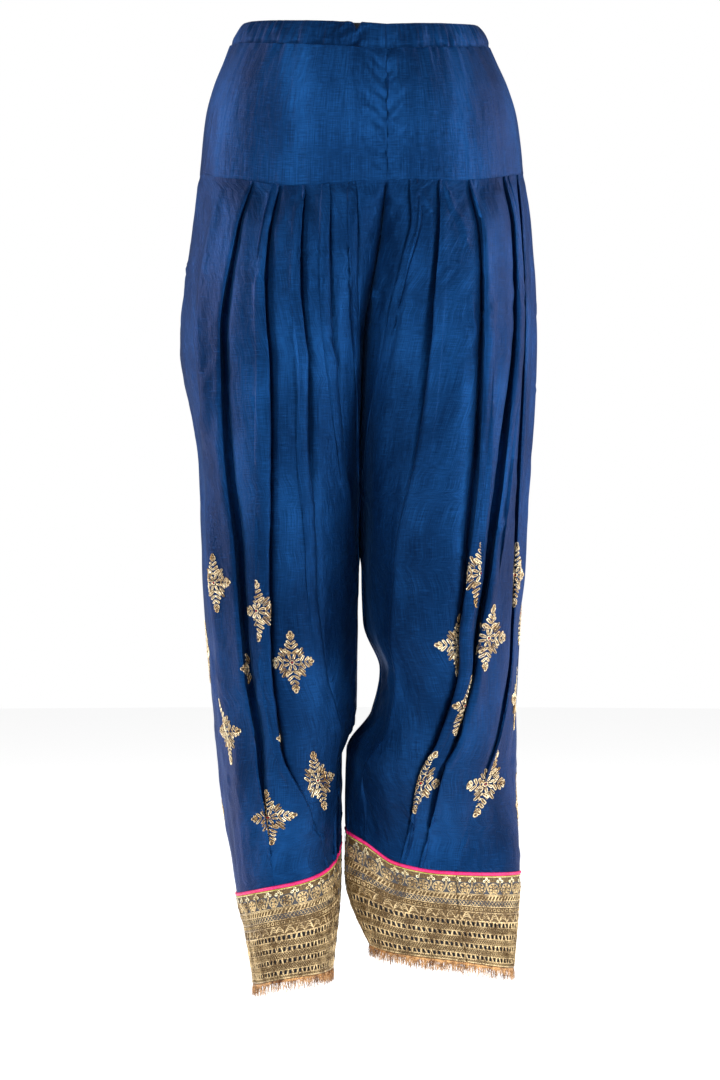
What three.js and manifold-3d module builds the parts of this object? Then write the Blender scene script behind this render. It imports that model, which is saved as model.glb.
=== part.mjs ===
// Pleated salwar trousers, worn form: yoke, knife-pleated legs, kunda gores and lace hems.
// Units are millimetres. +Z is up, -Y is the front and the origin is the middle of the waist.
import * as THREE from 'three';
import Module from 'manifold-3d';

const wasm = await Module();
wasm.setup();

// Driving dimensions
const WALL = 2.0;
const SEAM_GAP = 0.3;
const YOKE_SEAM_LEVEL = -148;
const CROTCH_LEVEL = -530;
const HEM_LEVEL = -845;
const PIPING_RADIUS = 1.8;
const LACE_WALL = 1.6;
const CASING_WALL = 3.0;
const MOTIF_CLEARANCE = 0.3;
const MOTIF_THICKNESS = 1.4;
const FRINGE_STRIP_HEIGHT = 3.0;
const FRINGE_LENGTH = 13.0;
const STRANDS_PER_LEG = 46;
const SLIT_WIDTH = 7.0;
const SLIT_DEPTH = 9.0;

// Base section of each leg at a level: four quarter ellipses from the front seam point,
// over the front, the outer side and the back, to the back seam point.
const SECTION_COLUMNS = [
  'level', 'outX', 'frontX', 'frontY', 'backX', 'backY', 'seamFX', 'seamFY', 'seamBX', 'seamBY',
];
const SECTIONS_RIGHT = [
  [-148, -160, 25, -117, 0, 124, 26, -117, 0, 124],
  [-200, -167, -25, -127, -25, 132, 20, -100, 0, 118],
  [-310, -178, -70, -138, -70, 145, 3, -70, 0, 100],
  [-430, -160, -82, -136, -80, 142, 0, -30, 0, 60],
  [-530, -157, -82, -128, -80, 132, -1, 10, -1, 10],
  [-620, -151, -78, -116, -78, 118, -3, 8, -3, 8],
  [-690, -145, -76, -104, -78, 106, -4, 6, -4, 6],
  [-745, -139, -76, -94, -78, 96, -19, 4, -19, 4],
  [-835, -125, -72, -80, -72, 80, -19, 0, -19, 0],
  [-940, -107, -66, -80, -66, 80, -28, 0, -28, 0],
];
const SECTIONS_LEFT = [
  [-148, 163, 27, -117, 0, 124, 26, -117, 0, 124],
  [-200, 169, 62, -127, 25, 132, 20, -100, 0, 118],
  [-310, 174, 88, -138, 75, 145, 3, -70, 0, 100],
  [-430, 168, 88, -136, 82, 142, 0, -30, 0, 60],
  [-530, 163, 86, -128, 84, 132, 1, 10, 1, 10],
  [-600, 158, 78, -120, 84, 120, 3, 10, 3, 10],
  [-650, 156, 76, -110, 90, 110, 20, 10, 20, 10],
  [-700, 157, 72, -100, 94, 100, 12, 8, 12, 8],
  [-745, 156, 66, -84, 96, 82, -13, 4, -13, 4],
  [-835, 160, 56, -47, 96, 41, -15, -6, -15, -6],
  [-940, 153, 66, -58, 108, 58, 25, -5, 25, -5],
];

// Levels of the rows of a leg, and the centre line that the two legs keep apart from.
const LEG_LEVELS = [
  -148, -158, -172, -192, -218, -252, -290, -330, -370, -410, -450, -490, -530,
  -568, -606, -644, -682, -720, -758, -796, -824, -845,
];
const CENTRE_LINE = [[-148, 26], [-200, 20], [-310, 3], [-430, 0], [-530, 0], [-600, 0]];

// Folds of a leg, from the centre seam outward. Each has its share round the section and its
// depth from valley to ridge at the fold levels.
const FOLD_LEVELS = [-148, -200, -310, -430, -530, -620, -700, -775, -845];
const VALLEY_WIDTH = [0.016, 0.016, 0.017, 0.017, 0.016, 0.015, 0.013, 0.011, 0.011];
const FOLDS_RIGHT = [
  { share: [0.066, 0.07, 0.055, 0.042, 0.034, 0.034, 0.03, 0.026, 0.024],
    depth: [3, 8, 12, 5, 0, 0, 0, 0, 0] },
  { share: [0.12, 0.122, 0.112, 0.114, 0.085, 0.07, 0.06, 0.052, 0.052],
    depth: [3, 9, 15, 16, 8, 4, 2, 1, 0] },
  { share: [0.172, 0.173, 0.158, 0.187, 0.205, 0.188, 0.133, 0.092, 0.084],
    depth: [3, 10, 17, 20, 19, 15, 10, 5, 0] },
  { share: [0.229, 0.233, 0.216, 0.243, 0.268, 0.27, 0.254, 0.185, 0.125],
    depth: [3, 10, 15, 18, 19, 19, 18, 13, 4] },
  { share: [0.293, 0.306, 0.3, 0.32, 0.319, 0.317, 0.301, 0.277, 0.27],
    depth: [3, 9, 15, 18, 20, 18, 14, 8, 2] },
];
const FOLDS_LEFT = [
  { share: [0.05, 0.077, 0.077, 0.055, 0.04, 0.035, 0.035, 0.03, 0.026],
    depth: [3, 8, 11, 4, 0, 0, 0, 0, 0] },
  { share: [0.121, 0.142, 0.172, 0.188, 0.183, 0.175, 0.15, 0.1, 0.08],
    depth: [3, 9, 16, 20, 20, 19, 13, 6, 0] },
  { share: [0.196, 0.231, 0.256, 0.273, 0.286, 0.281, 0.252, 0.215, 0.17],
    depth: [3, 10, 16, 20, 21, 20, 18, 12, 3] },
  { share: [0.307, 0.331, 0.333, 0.33, 0.327, 0.318, 0.291, 0.259, 0.215],
    depth: [3, 10, 16, 18, 20, 20, 17, 12, 4] },
  { share: [0.375, 0.372, 0.374, 0.386, 0.4, 0.42, 0.385, 0.345, 0.3],
    depth: [2, 5, 7, 10, 9, 8, 6, 4, 2] },
];
const SIDE_COLUMNS = 3;
// The fold whose valley hides the seam between a side panel and a kunda gore.
const KUNDA_FOLD = 2;

// Edge heights round each half, as share and level
const YOKE_SEAM_RIGHT = [[0, -156], [0.18, -161], [0.35, -150], [0.5, -140], [0.75, -142], [1, -146]];
const YOKE_SEAM_LEFT = [[0, -156], [0.15, -155.5], [0.38, -143], [0.5, -137], [0.75, -140], [1, -146]];
const HEM_RIGHT = [
  [0, -800], [0.1, -824], [0.25, -841], [0.5, -857], [0.75, -852], [0.9, -828], [1, -800],
];
const HEM_LEFT = [
  [0, -791], [0.08, -803], [0.16, -823], [0.27, -832], [0.5, -836], [0.75, -834], [0.9, -812],
  [1, -791],
];
const LACE_END_RIGHT = [[0, -931], [0.2, -930], [0.4, -943], [0.5, -946], [0.75, -945], [1, -931]];
const LACE_END_LEFT = [[0, -906], [0.25, -917], [0.5, -931], [0.75, -929], [1, -906]];
const CASING_TOP = [[0, 0], [0.25, 5], [0.5, 11], [0.75, 12], [1, 12]];
const CASING_SEAM = [[0, -27], [0.25, -20], [0.5, -12], [0.75, -12], [1, -12]];

// Waist ellipse, and how far the yoke has widened from the waist to its lower seam.
const WAIST = { seamHalfX: 129, seamHalfY: 97, topHalfX: 117, topHalfY: 88, centreX: 0 };
const YOKE_ROWS = [0, 0.14, 0.36, 0.66, 1];
const YOKE_SPREAD = [[0, 0], [0.09, 0.17], [0.32, 0.56], [0.54, 0.8], [0.77, 0.92], [1, 1]];

// Embroidered motifs: share round the leg, level, width, height, and the part of the width from
// side to side (-1 to 1) that lies outside the pleat.
const MOTIFS_RIGHT = [
  [0.368, -544, 46, 64, -1, 1],
  [0.272, -574, 47, 66, -1, 0.25],
  [0.244, -620, 48, 66, -0.6, 1],
  [0.29, -622, 46, 64, -1, -0.45],
  [0.392, -684, 46, 66, -1, 1],
  [0.236, -694, 46, 64, -1, -0.4],
  [0.272, -770, 47, 68, -1, 1],
  [0.174, -756, 46, 66, -0.3, 1],
  [0.5, -612, 46, 64, -1, 1],
  [0.52, -765, 46, 64, -1, 1],
  [0.635, -548, 46, 64, -1, 1],
  [0.785, -600, 46, 64, -1, 1],
  [0.64, -690, 46, 64, -1, 1],
  [0.77, -740, 46, 64, -1, 1],
];
const MOTIFS_LEFT = [
  [0.32, -536, 46, 62, -1, 0.3],
  [0.402, -540, 46, 64, -1, 1],
  [0.282, -606, 48, 66, -1, 0.15],
  [0.324, -602, 48, 64, -0.25, 1],
  [0.304, -668, 46, 64, -1, 0.1],
  [0.462, -664, 46, 64, -1, 1],
  [0.23, -750, 46, 66, -0.3, 1],
  [0.36, -752, 48, 68, -1, 1],
  [0.53, -580, 46, 64, -1, 1],
  [0.52, -775, 46, 64, -1, 1],
  [0.65, -545, 46, 64, -1, 1],
  [0.785, -600, 46, 64, -1, 1],
  [0.64, -690, 46, 64, -1, 1],
  [0.77, -740, 46, 64, -1, 1],
];

// Colours
const COLOURS = {
  silk: 0x1b4982,
  lace: 0xa98d5c,
  piping: 0xb8245f,
  fringe: 0x9a5a34,
  embroidery: 0xb59450,
};

/** Straight blend of two numbers. */
function mix(a, b, t) {
  return a + (b - a) * t;
}

/** Monotone cubic curve through rising xs, read at x. */
function curveAt(xs, ys, x) {
  const n = xs.length;
  const h = [];
  const d = [];
  for (let i = 0; i < n - 1; i++) {
    h.push(xs[i + 1] - xs[i]);
    d.push((ys[i + 1] - ys[i]) / h[i]);
  }
  const m = [d[0]];
  for (let i = 1; i < n - 1; i++) {
    const w1 = 2 * h[i] + h[i - 1];
    const w2 = h[i] + 2 * h[i - 1];
    m.push(d[i - 1] * d[i] > 0 ? (w1 + w2) / (w1 / d[i - 1] + w2 / d[i]) : 0);
  }
  m.push(d[n - 2]);
  let i = 0;
  while (i < n - 2 && x > xs[i + 1]) i++;
  const t = Math.min(1, Math.max(0, (x - xs[i]) / h[i]));
  const s = 1 - t;
  return (1 + 2 * t) * s * s * ys[i] + t * s * s * h[i] * m[i]
    + t * t * (3 - 2 * t) * ys[i + 1] - t * t * s * h[i] * m[i + 1];
}

/** Table of pairs read at x; the pairs may rise or fall. */
function tableAt(pairs, x) {
  const rising = pairs[1][0] > pairs[0][0];
  const list = rising ? pairs : [...pairs].reverse();
  return curveAt(list.map((p) => p[0]), list.map((p) => p[1]), x);
}

/** Values listed at FOLD_LEVELS, read at a level. */
function atFoldLevel(values, level) {
  return curveAt(FOLD_LEVELS.map((z) => -z), values, -level);
}

/** Base section of a leg at a level: a point and an outward direction for each share. */
function sectionAt(leg, level) {
  const depths = leg.sections.map((row) => -row[0]);
  const v = {};
  SECTION_COLUMNS.forEach((name, k) => {
    v[name] = curveAt(depths, leg.sections.map((row) => row[k]), -level);
  });
  if (level <= CROTCH_LEVEL) {
    v.seamBX = v.seamFX;
    v.seamBY = v.seamFY;
  }
  const steps = 20;
  const pts = [];
  const arc = (x0, x1, y0, y1, rising) => {
    for (let i = pts.length ? 1 : 0; i <= steps; i++) {
      const a = (i / steps) * Math.PI / 2;
      const c = rising ? Math.cos(a) : Math.sin(a);
      const s = rising ? Math.sin(a) : Math.cos(a);
      pts.push([x0 + (x1 - x0) * c, y0 + (y1 - y0) * s]);
    }
  };
  arc(v.frontX, v.seamFX, v.seamFY, v.frontY, true);
  arc(v.frontX, v.outX, 0, v.frontY, false);
  arc(v.backX, v.outX, 0, v.backY, true);
  arc(v.backX, v.seamBX, v.seamBY, v.backY, false);
  const len = [0];
  for (let i = 1; i < pts.length; i++) {
    len.push(len[i - 1] + Math.hypot(pts[i][0] - pts[i - 1][0], pts[i][1] - pts[i - 1][1]));
  }
  const total = len[len.length - 1];
  const point = (share) => {
    const want = Math.min(1, Math.max(0, share)) * total;
    let i = 1;
    while (i < len.length - 1 && len[i] < want) i++;
    const t = (want - len[i - 1]) / Math.max(1e-9, len[i] - len[i - 1]);
    return [mix(pts[i - 1][0], pts[i][0], t), mix(pts[i - 1][1], pts[i][1], t)];
  };
  const outward = (share) => {
    const a = point(share - 0.012);
    const b = point(share + 0.012);
    const tx = b[0] - a[0];
    const ty = b[1] - a[1];
    const l = Math.hypot(tx, ty);
    return leg.side < 0 ? [-ty / l, tx / l] : [ty / l, -tx / l];
  };
  return { point, outward, total };
}

/** Columns of a leg at a level: share and relief of valleys, ridges and faces. */
function columnsAt(leg, level) {
  const width = atFoldLevel(VALLEY_WIDTH, level);
  const front = [];
  const folds = leg.folds.map((f) => ({
    share: atFoldLevel(f.share, level),
    depth: atFoldLevel(f.depth, level),
  }));
  folds.forEach((f, i) => {
    const next = i + 1 < folds.length ? folds[i + 1] : { share: f.share + 0.1, depth: 0 };
    front.push({ share: f.share - width, relief: -0.55 * f.depth });
    front.push({ share: f.share, relief: 0.45 * f.depth });
    front.push({
      share: mix(f.share, next.share - width, 0.5),
      relief: 0.5 * (0.45 * f.depth - 0.55 * next.depth) + 0.08 * f.depth,
    });
  });
  const sides = [];
  const last = front[front.length - 1].share;
  for (let i = 0; i < SIDE_COLUMNS; i++) {
    sides.push({ share: mix(last, 1 - last, (i + 1) / (SIDE_COLUMNS + 1)), relief: 0 });
  }
  const back = [...front].reverse().map((c) => ({ share: 1 - c.share, relief: c.relief }));
  return [{ share: 0, relief: 0 }, ...front, ...sides, ...back, { share: 1, relief: 0 }];
}

/** Unit normal at each vertex of a grid of points, from the faces round it. */
function gridNormals(points, side, closedRow) {
  const rows = points.length;
  const cols = points[0].length;
  const normals = points.map((row) => row.map(() => new THREE.Vector3()));
  for (let r = 0; r < rows - 1; r++) {
    for (let c = 0; c < cols - 1; c++) {
      const a = points[r][c];
      const b = points[r][c + 1];
      const d = points[r + 1][c];
      const e = points[r + 1][c + 1];
      const n = new THREE.Vector3().subVectors(e, a)
        .cross(new THREE.Vector3().subVectors(b, d)).setLength(side);
      [[r, c], [r, c + 1], [r + 1, c], [r + 1, c + 1]].forEach(([i, j]) => normals[i][j].add(n));
    }
  }
  for (let r = 0; r < rows; r++) {
    if (closedRow(r)) {
      const sum = normals[r][0].clone().add(normals[r][cols - 1]);
      normals[r][0].copy(sum);
      normals[r][cols - 1].copy(sum);
    }
    for (let c = 0; c < cols; c++) {
      if (r === 0 || r === rows - 1) normals[r][c].z = 0;
      normals[r][c].normalize();
    }
  }
  return normals;
}

/** Whole outer surface of a leg as a grid of points with normals. */
function legSurface(leg) {
  const levels = LEG_LEVELS;
  const span = YOKE_SEAM_LEVEL - HEM_LEVEL;
  const points = levels.map((level, r) => {
    const section = sectionAt(leg, level);
    const u = (YOKE_SEAM_LEVEL - level) / span;
    return columnsAt(leg, level).map((col) => {
      const p = section.point(col.share);
      const n = section.outward(col.share);
      const top = tableAt(leg.yokeSeam, col.share) - YOKE_SEAM_LEVEL;
      const low = tableAt(leg.hem, col.share) - HEM_LEVEL;
      let z = level + top * (1 - u) ** 4 + low * u ** 3;
      if (r === 0) z -= SEAM_GAP / 2;
      if (r === levels.length - 1) z += SEAM_GAP + PIPING_RADIUS;
      let x = p[0] + n[0] * col.relief;
      const centre = col.share > 0.5 ? 0 : tableAt(CENTRE_LINE, Math.max(-600, level));
      if (level > -610) {
        x = leg.side < 0
          ? Math.min(x, centre - SEAM_GAP / 2) : Math.max(x, centre + SEAM_GAP / 2);
      }
      return new THREE.Vector3(x, p[1] + n[1] * col.relief, z);
    });
  });
  const closedRow = (r) => levels[r] <= CROTCH_LEVEL;
  const normals = gridNormals(points, leg.side, closedRow);
  const last = points[0].length - 1;
  levels.forEach((level, r) => {
    if (closedRow(r)) return;
    [0, last].forEach((c) => {
      const n = normals[r][c];
      n.x = leg.side < 0 ? Math.max(0, n.x) : Math.min(0, n.x);
      n.normalize();
    });
  });
  return { points, normals, side: leg.side };
}

/**
 * Closed body from outer and inner point grids. wrap joins the last column to the first, and
 * cells from the column turn onward are split along the other diagonal, as the back folds slant.
 */
function shellGeometry(outer, inner, side, wrap = false, turn = Infinity) {
  const rows = outer.length;
  const cols = outer[0].length;
  const position = [];
  [outer, inner].forEach((grid) => grid.forEach((row) => row.forEach((p) => {
    position.push(p.x, p.y, p.z);
  })));
  const o = (r, c) => r * cols + (c % cols);
  const n = (r, c) => rows * cols + o(r, c);
  const index = [];
  const quad = (a, b, c, d, other = false) => {
    const corners = other ? [b, c, d, b, d, a] : [a, b, c, a, c, d];
    index.push(...(side > 0 ? corners : corners.reverse()));
  };
  const spans = wrap ? cols : cols - 1;
  for (let c = 0; c < spans; c++) {
    for (let r = 0; r < rows - 1; r++) {
      quad(o(r, c), o(r + 1, c), o(r + 1, c + 1), o(r, c + 1), c >= turn);
      quad(n(r, c), n(r, c + 1), n(r + 1, c + 1), n(r + 1, c), c >= turn);
    }
    quad(o(0, c), o(0, c + 1), n(0, c + 1), n(0, c));
    quad(o(rows - 1, c), n(rows - 1, c), n(rows - 1, c + 1), o(rows - 1, c + 1));
  }
  if (!wrap) {
    for (let r = 0; r < rows - 1; r++) {
      quad(o(r, 0), n(r, 0), n(r + 1, 0), o(r + 1, 0));
      const c = cols - 1;
      quad(o(r, c), o(r + 1, c), n(r + 1, c), n(r, c));
    }
  }
  const geometry = new THREE.BufferGeometry();
  geometry.setAttribute('position', new THREE.Float32BufferAttribute(position, 3));
  geometry.setIndex(index);
  geometry.computeVertexNormals();
  return geometry;
}

/** Part of a surface between two columns, as a wall with half a seam gap at each side. */
function panelGeometry(surface, c0, c1, wall) {
  const outer = [];
  const inner = [];
  surface.points.forEach((row, r) => {
    const outs = [];
    const ins = [];
    for (let c = c0; c <= c1; c++) {
      const p = row[c].clone();
      if (c === c0 || c === c1) {
        const next = row[c === c0 ? c + 1 : c - 1];
        const shift = new THREE.Vector3().subVectors(next, row[c]);
        shift.z = 0;
        p.add(shift.setLength(SEAM_GAP / 2));
      }
      outs.push(p);
      ins.push(p.clone().addScaledVector(surface.normals[r][c], -wall));
    }
    outer.push(outs);
    inner.push(ins);
  });
  const middle = (surface.points[0].length - 1) / 2;
  return shellGeometry(outer, inner, surface.side, false, middle - c0);
}

/** Points of one half of the waist ellipse from the front seam to the back, by share. */
function waistPoint(side, share, halfX, halfY) {
  const start = Math.asin(26 / halfX) * -side;
  const samples = 60;
  const pts = [];
  const len = [0];
  for (let i = 0; i <= samples; i++) {
    const a = mix(-start, Math.PI, i / samples);
    pts.push([side * Math.sin(a) * halfX, -Math.cos(a) * halfY]);
    if (i) len.push(len[i - 1] + Math.hypot(pts[i][0] - pts[i - 1][0], pts[i][1] - pts[i - 1][1]));
  }
  const want = share * len[samples];
  let i = 1;
  while (i < samples && len[i] < want) i++;
  const t = (want - len[i - 1]) / (len[i] - len[i - 1]);
  return [mix(pts[i - 1][0], pts[i][0], t), mix(pts[i - 1][1], pts[i][1], t)];
}

/** Outer surface of one half of the yoke. */
function yokeSurface(leg) {
  const columns = columnsAt(leg, YOKE_SEAM_LEVEL);
  const section = sectionAt(leg, YOKE_SEAM_LEVEL);
  const points = YOKE_ROWS.map((t, r) => columns.map((col, c) => {
    const top = waistPoint(leg.side, col.share, WAIST.seamHalfX, WAIST.seamHalfY);
    const low = section.point(col.share);
    const w = tableAt(YOKE_SPREAD, t);
    const pucker = (c % 2 ? 0.9 : -0.5) * Math.max(0, 1 - t / 0.5);
    const n = section.outward(col.share);
    let z = mix(tableAt(CASING_SEAM, col.share), tableAt(leg.yokeSeam, col.share), t);
    if (r === 0) z -= SEAM_GAP / 2;
    if (r === YOKE_ROWS.length - 1) z += SEAM_GAP / 2;
    const inside = c === 0 || c === columns.length - 1 ? 0 : pucker;
    let x = mix(top[0], low[0], w) + n[0] * inside;
    const centre = c === 0 ? 26 : 0;
    if (c === 0 || c === columns.length - 1) x = centre;
    return new THREE.Vector3(x, mix(top[1], low[1], w) + n[1] * inside, z);
  }));
  const normals = gridNormals(points, leg.side, () => false);
  normals.forEach((row) => [0, row.length - 1].forEach((c) => {
    row[c].x = 0;
    row[c].normalize();
  }));
  return { points, normals, side: leg.side };
}

/** Gathered casing round the waist, with the drawstring slit at the front. */
function casingGeometry(legs) {
  const rows = [0, 0.5, 1];
  const outer = [];
  const inner = [];
  rows.forEach((t, r) => {
    const halfX = mix(WAIST.topHalfX, WAIST.seamHalfX, t);
    const halfY = mix(WAIST.topHalfY, WAIST.seamHalfY, t);
    const outs = [];
    const ins = [];
    const add = (leg, share, k) => {
      const p = waistPoint(leg.side, share, halfX, halfY);
      const n = new THREE.Vector3(p[0] / halfX ** 2, p[1] / halfY ** 2, 0).normalize();
      const out = (k % 2 ? 0.9 : -0.6) + (r === 1 ? 1.0 : 0);
      let z = mix(tableAt(CASING_TOP, share), tableAt(CASING_SEAM, share), t);
      if (r === 2) z += SEAM_GAP / 2;
      const q = new THREE.Vector3(p[0], p[1], z).addScaledVector(n, out);
      outs.push(q);
      ins.push(q.clone().addScaledVector(n, -CASING_WALL));
    };
    const right = columnsAt(legs[0], YOKE_SEAM_LEVEL);
    const left = columnsAt(legs[1], YOKE_SEAM_LEVEL);
    right.slice(0, -1).forEach((col, k) => add(legs[0], col.share, k));
    [...left].reverse().slice(0, -1).forEach((col, k) => add(legs[1], col.share, k));
    outer.push(outs);
    inner.push(ins);
  });
  const body = toManifold(shellGeometry(outer, inner, -1, true));
  const slit = new THREE.BufferGeometry();
  const w = SLIT_WIDTH / 2;
  const corners = [[-w, 4], [w, 4], [0, -SLIT_DEPTH]];
  const position = [];
  [-WAIST.topHalfY - 20, -WAIST.topHalfY + 14].forEach((y) => corners.forEach(([x, z]) => {
    position.push(x - 3, y, z);
  }));
  slit.setAttribute('position', new THREE.Float32BufferAttribute(position, 3));
  slit.setIndex([0, 2, 1, 3, 4, 5, 0, 1, 4, 0, 4, 3, 1, 2, 5, 1, 5, 4, 2, 0, 3, 2, 3, 5]);
  let cutter = toManifold(slit);
  if (cutter.volume() <= 0) {
    slit.setIndex([...slit.index.array].reverse());
    cutter = toManifold(slit);
  }
  return fromManifold(body.subtract(cutter));
}

/** Manifold solid of an indexed geometry. */
function toManifold(geometry) {
  const mesh = new wasm.Mesh({
    numProp: 3,
    vertProperties: new Float32Array(geometry.getAttribute('position').array),
    triVerts: new Uint32Array(geometry.index.array),
  });
  mesh.merge();
  return new wasm.Manifold(mesh);
}

/** Geometry of a manifold solid. */
function fromManifold(solid) {
  const mesh = solid.getMesh();
  const geometry = new THREE.BufferGeometry();
  const position = [];
  for (let i = 0; i < mesh.numVert; i++) {
    for (let k = 0; k < 3; k++) position.push(mesh.vertProperties[i * mesh.numProp + k]);
  }
  geometry.setAttribute('position', new THREE.Float32BufferAttribute(position, 3));
  geometry.setIndex(Array.from(mesh.triVerts));
  geometry.computeVertexNormals();
  return geometry;
}

/** Rows of hem points: distance below the leg edge read from level curves. */
function hemRing(leg, levelOf, drop, inset) {
  const columns = columnsAt(leg, HEM_LEVEL).slice(0, -1);
  return columns.map((col) => {
    const z = levelOf(col.share) - drop;
    const section = sectionAt(leg, Math.max(-940, Math.min(HEM_LEVEL + 10, z)));
    const p = section.point(col.share);
    const n = section.outward(col.share);
    const out = col.relief - inset;
    return { at: new THREE.Vector3(p[0] + n[0] * out, p[1] + n[1] * out, z), out: n };
  });
}

/** Piping cord round a hem. */
function pipingGeometry(leg) {
  const sides = 6;
  const ring = hemRing(leg, (s) => tableAt(leg.hem, s), 0, 0.6);
  const bottom = legRowPoints(leg);
  const position = [];
  ring.forEach((spot, k) => {
    const n = new THREE.Vector3(spot.out[0], spot.out[1], 0);
    const centre = new THREE.Vector3(bottom[k].x, bottom[k].y, spot.at.z).addScaledVector(n, -0.8);
    for (let i = 0; i < sides; i++) {
      const a = (i / sides) * 2 * Math.PI;
      const p = centre.clone().addScaledVector(n, Math.sin(a) * PIPING_RADIUS);
      position.push(p.x, p.y, p.z + Math.cos(a) * PIPING_RADIUS);
    }
  });
  const count = ring.length;
  const index = [];
  for (let k = 0; k < count; k++) {
    for (let i = 0; i < sides; i++) {
      const a = k * sides + i;
      const b = k * sides + (i + 1) % sides;
      const c = ((k + 1) % count) * sides + (i + 1) % sides;
      const d = ((k + 1) % count) * sides + i;
      if (leg.side > 0) index.push(a, b, c, a, c, d);
      else index.push(a, c, b, a, d, c);
    }
  }
  const geometry = new THREE.BufferGeometry();
  geometry.setAttribute('position', new THREE.Float32BufferAttribute(position, 3));
  geometry.setIndex(index);
  geometry.computeVertexNormals();
  return geometry;
}

/** Lowest row of a leg without the doubled seam column. */
function legRowPoints(leg) {
  const row = leg.surface.points[leg.surface.points.length - 1];
  const first = row[0].clone().add(row[row.length - 1]).multiplyScalar(0.5);
  return [first, ...row.slice(1, -1)];
}

/** Lace band below the piping, as a closed ring. */
function laceGeometry(leg) {
  const outer = [];
  const inner = [];
  const rows = [0, 0.33, 0.66, 1];
  const top = legRowPoints(leg);
  const columns = columnsAt(leg, HEM_LEVEL).slice(0, -1);
  const end = hemRing(leg, (s) => tableAt(leg.laceEnd, s), 0, 0);
  rows.forEach((t) => {
    const outs = [];
    const ins = [];
    columns.forEach((col, k) => {
      const z0 = tableAt(leg.hem, col.share) - PIPING_RADIUS - SEAM_GAP;
      const z = mix(z0, end[k].at.z, t);
      const section = sectionAt(leg, Math.max(-940, Math.min(-800, z)));
      const p = section.point(col.share);
      const n = section.outward(col.share);
      const out = mix(col.relief, 0.4 * col.relief, t);
      const free = new THREE.Vector3(p[0] + n[0] * out, p[1] + n[1] * out, z);
      const q = new THREE.Vector3(top[k].x, top[k].y, z).lerp(free, Math.min(1, t * 3) ** 0.7);
      const normal = new THREE.Vector3(n[0], n[1], 0);
      outs.push(q.clone());
      ins.push(q.clone().addScaledVector(normal, -LACE_WALL));
    });
    outer.push(outs);
    inner.push(ins);
  });
  leg.laceOuter = outer;
  leg.laceInner = inner;
  return shellGeometry(outer, inner, leg.side, true);
}

/** Fringe: a narrow strip under the lace with tapered strands rooted in it. */
function fringeGeometry(leg) {
  const last = leg.laceOuter.length - 1;
  const drop = (p, d) => new THREE.Vector3(p.x, p.y, p.z - d);
  const outs = leg.laceOuter[last];
  const ins = leg.laceInner[last];
  const strip = shellGeometry(
    [outs.map((p) => drop(p, SEAM_GAP)), outs.map((p) => drop(p, SEAM_GAP + FRINGE_STRIP_HEIGHT))],
    [ins.map((p) => drop(p, SEAM_GAP)), ins.map((p) => drop(p, SEAM_GAP + FRINGE_STRIP_HEIGHT))],
    leg.side,
    true,
  );
  const mid = outs.map((p, k) => p.clone().add(ins[k]).multiplyScalar(0.5));
  const len = [0];
  for (let k = 0; k < mid.length; k++) {
    len.push(len[k] + mid[k].distanceTo(mid[(k + 1) % mid.length]));
  }
  const parts = [toManifold(strip)];
  for (let i = 0; i < STRANDS_PER_LEG; i++) {
    const want = ((i + 0.5) / STRANDS_PER_LEG) * len[mid.length];
    let k = 0;
    while (k < mid.length - 1 && len[k + 1] < want) k++;
    const t = (want - len[k]) / (len[k + 1] - len[k]);
    const next = mid[(k + 1) % mid.length];
    const root = mid[k].clone().lerp(next, t);
    const along = new THREE.Vector3().subVectors(next, mid[k]);
    along.z = 0;
    along.normalize();
    const out = new THREE.Vector3(along.y, -along.x, 0).multiplyScalar(leg.side);
    const strandLength = FRINGE_LENGTH + 1.5 * Math.sin(i * 2.4);
    const position = [];
    [[0.62, -SEAM_GAP - 1.4], [0.3, -SEAM_GAP - strandLength]].forEach(([radius, dz]) => {
      for (let j = 0; j < 3; j++) {
        const a = (j / 3) * 2 * Math.PI + 0.4;
        const p = root.clone().addScaledVector(along, Math.cos(a) * radius * 1.3)
          .addScaledVector(out, Math.sin(a) * radius);
        position.push(p.x, p.y, p.z + dz);
      }
    });
    const geometry = new THREE.BufferGeometry();
    geometry.setAttribute('position', new THREE.Float32BufferAttribute(position, 3));
    const faces = [0, 1, 2, 3, 5, 4, 0, 3, 4, 0, 4, 1, 1, 4, 5, 1, 5, 2, 2, 5, 3, 2, 3, 0];
    geometry.setIndex(faces);
    let strand = toManifold(geometry);
    if (strand.volume() <= 0) {
      geometry.setIndex([...faces].reverse());
      strand = toManifold(geometry);
    }
    parts.push(strand);
  }
  return fromManifold(parts.reduce((sum, part) => sum.add(part)));
}

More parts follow.
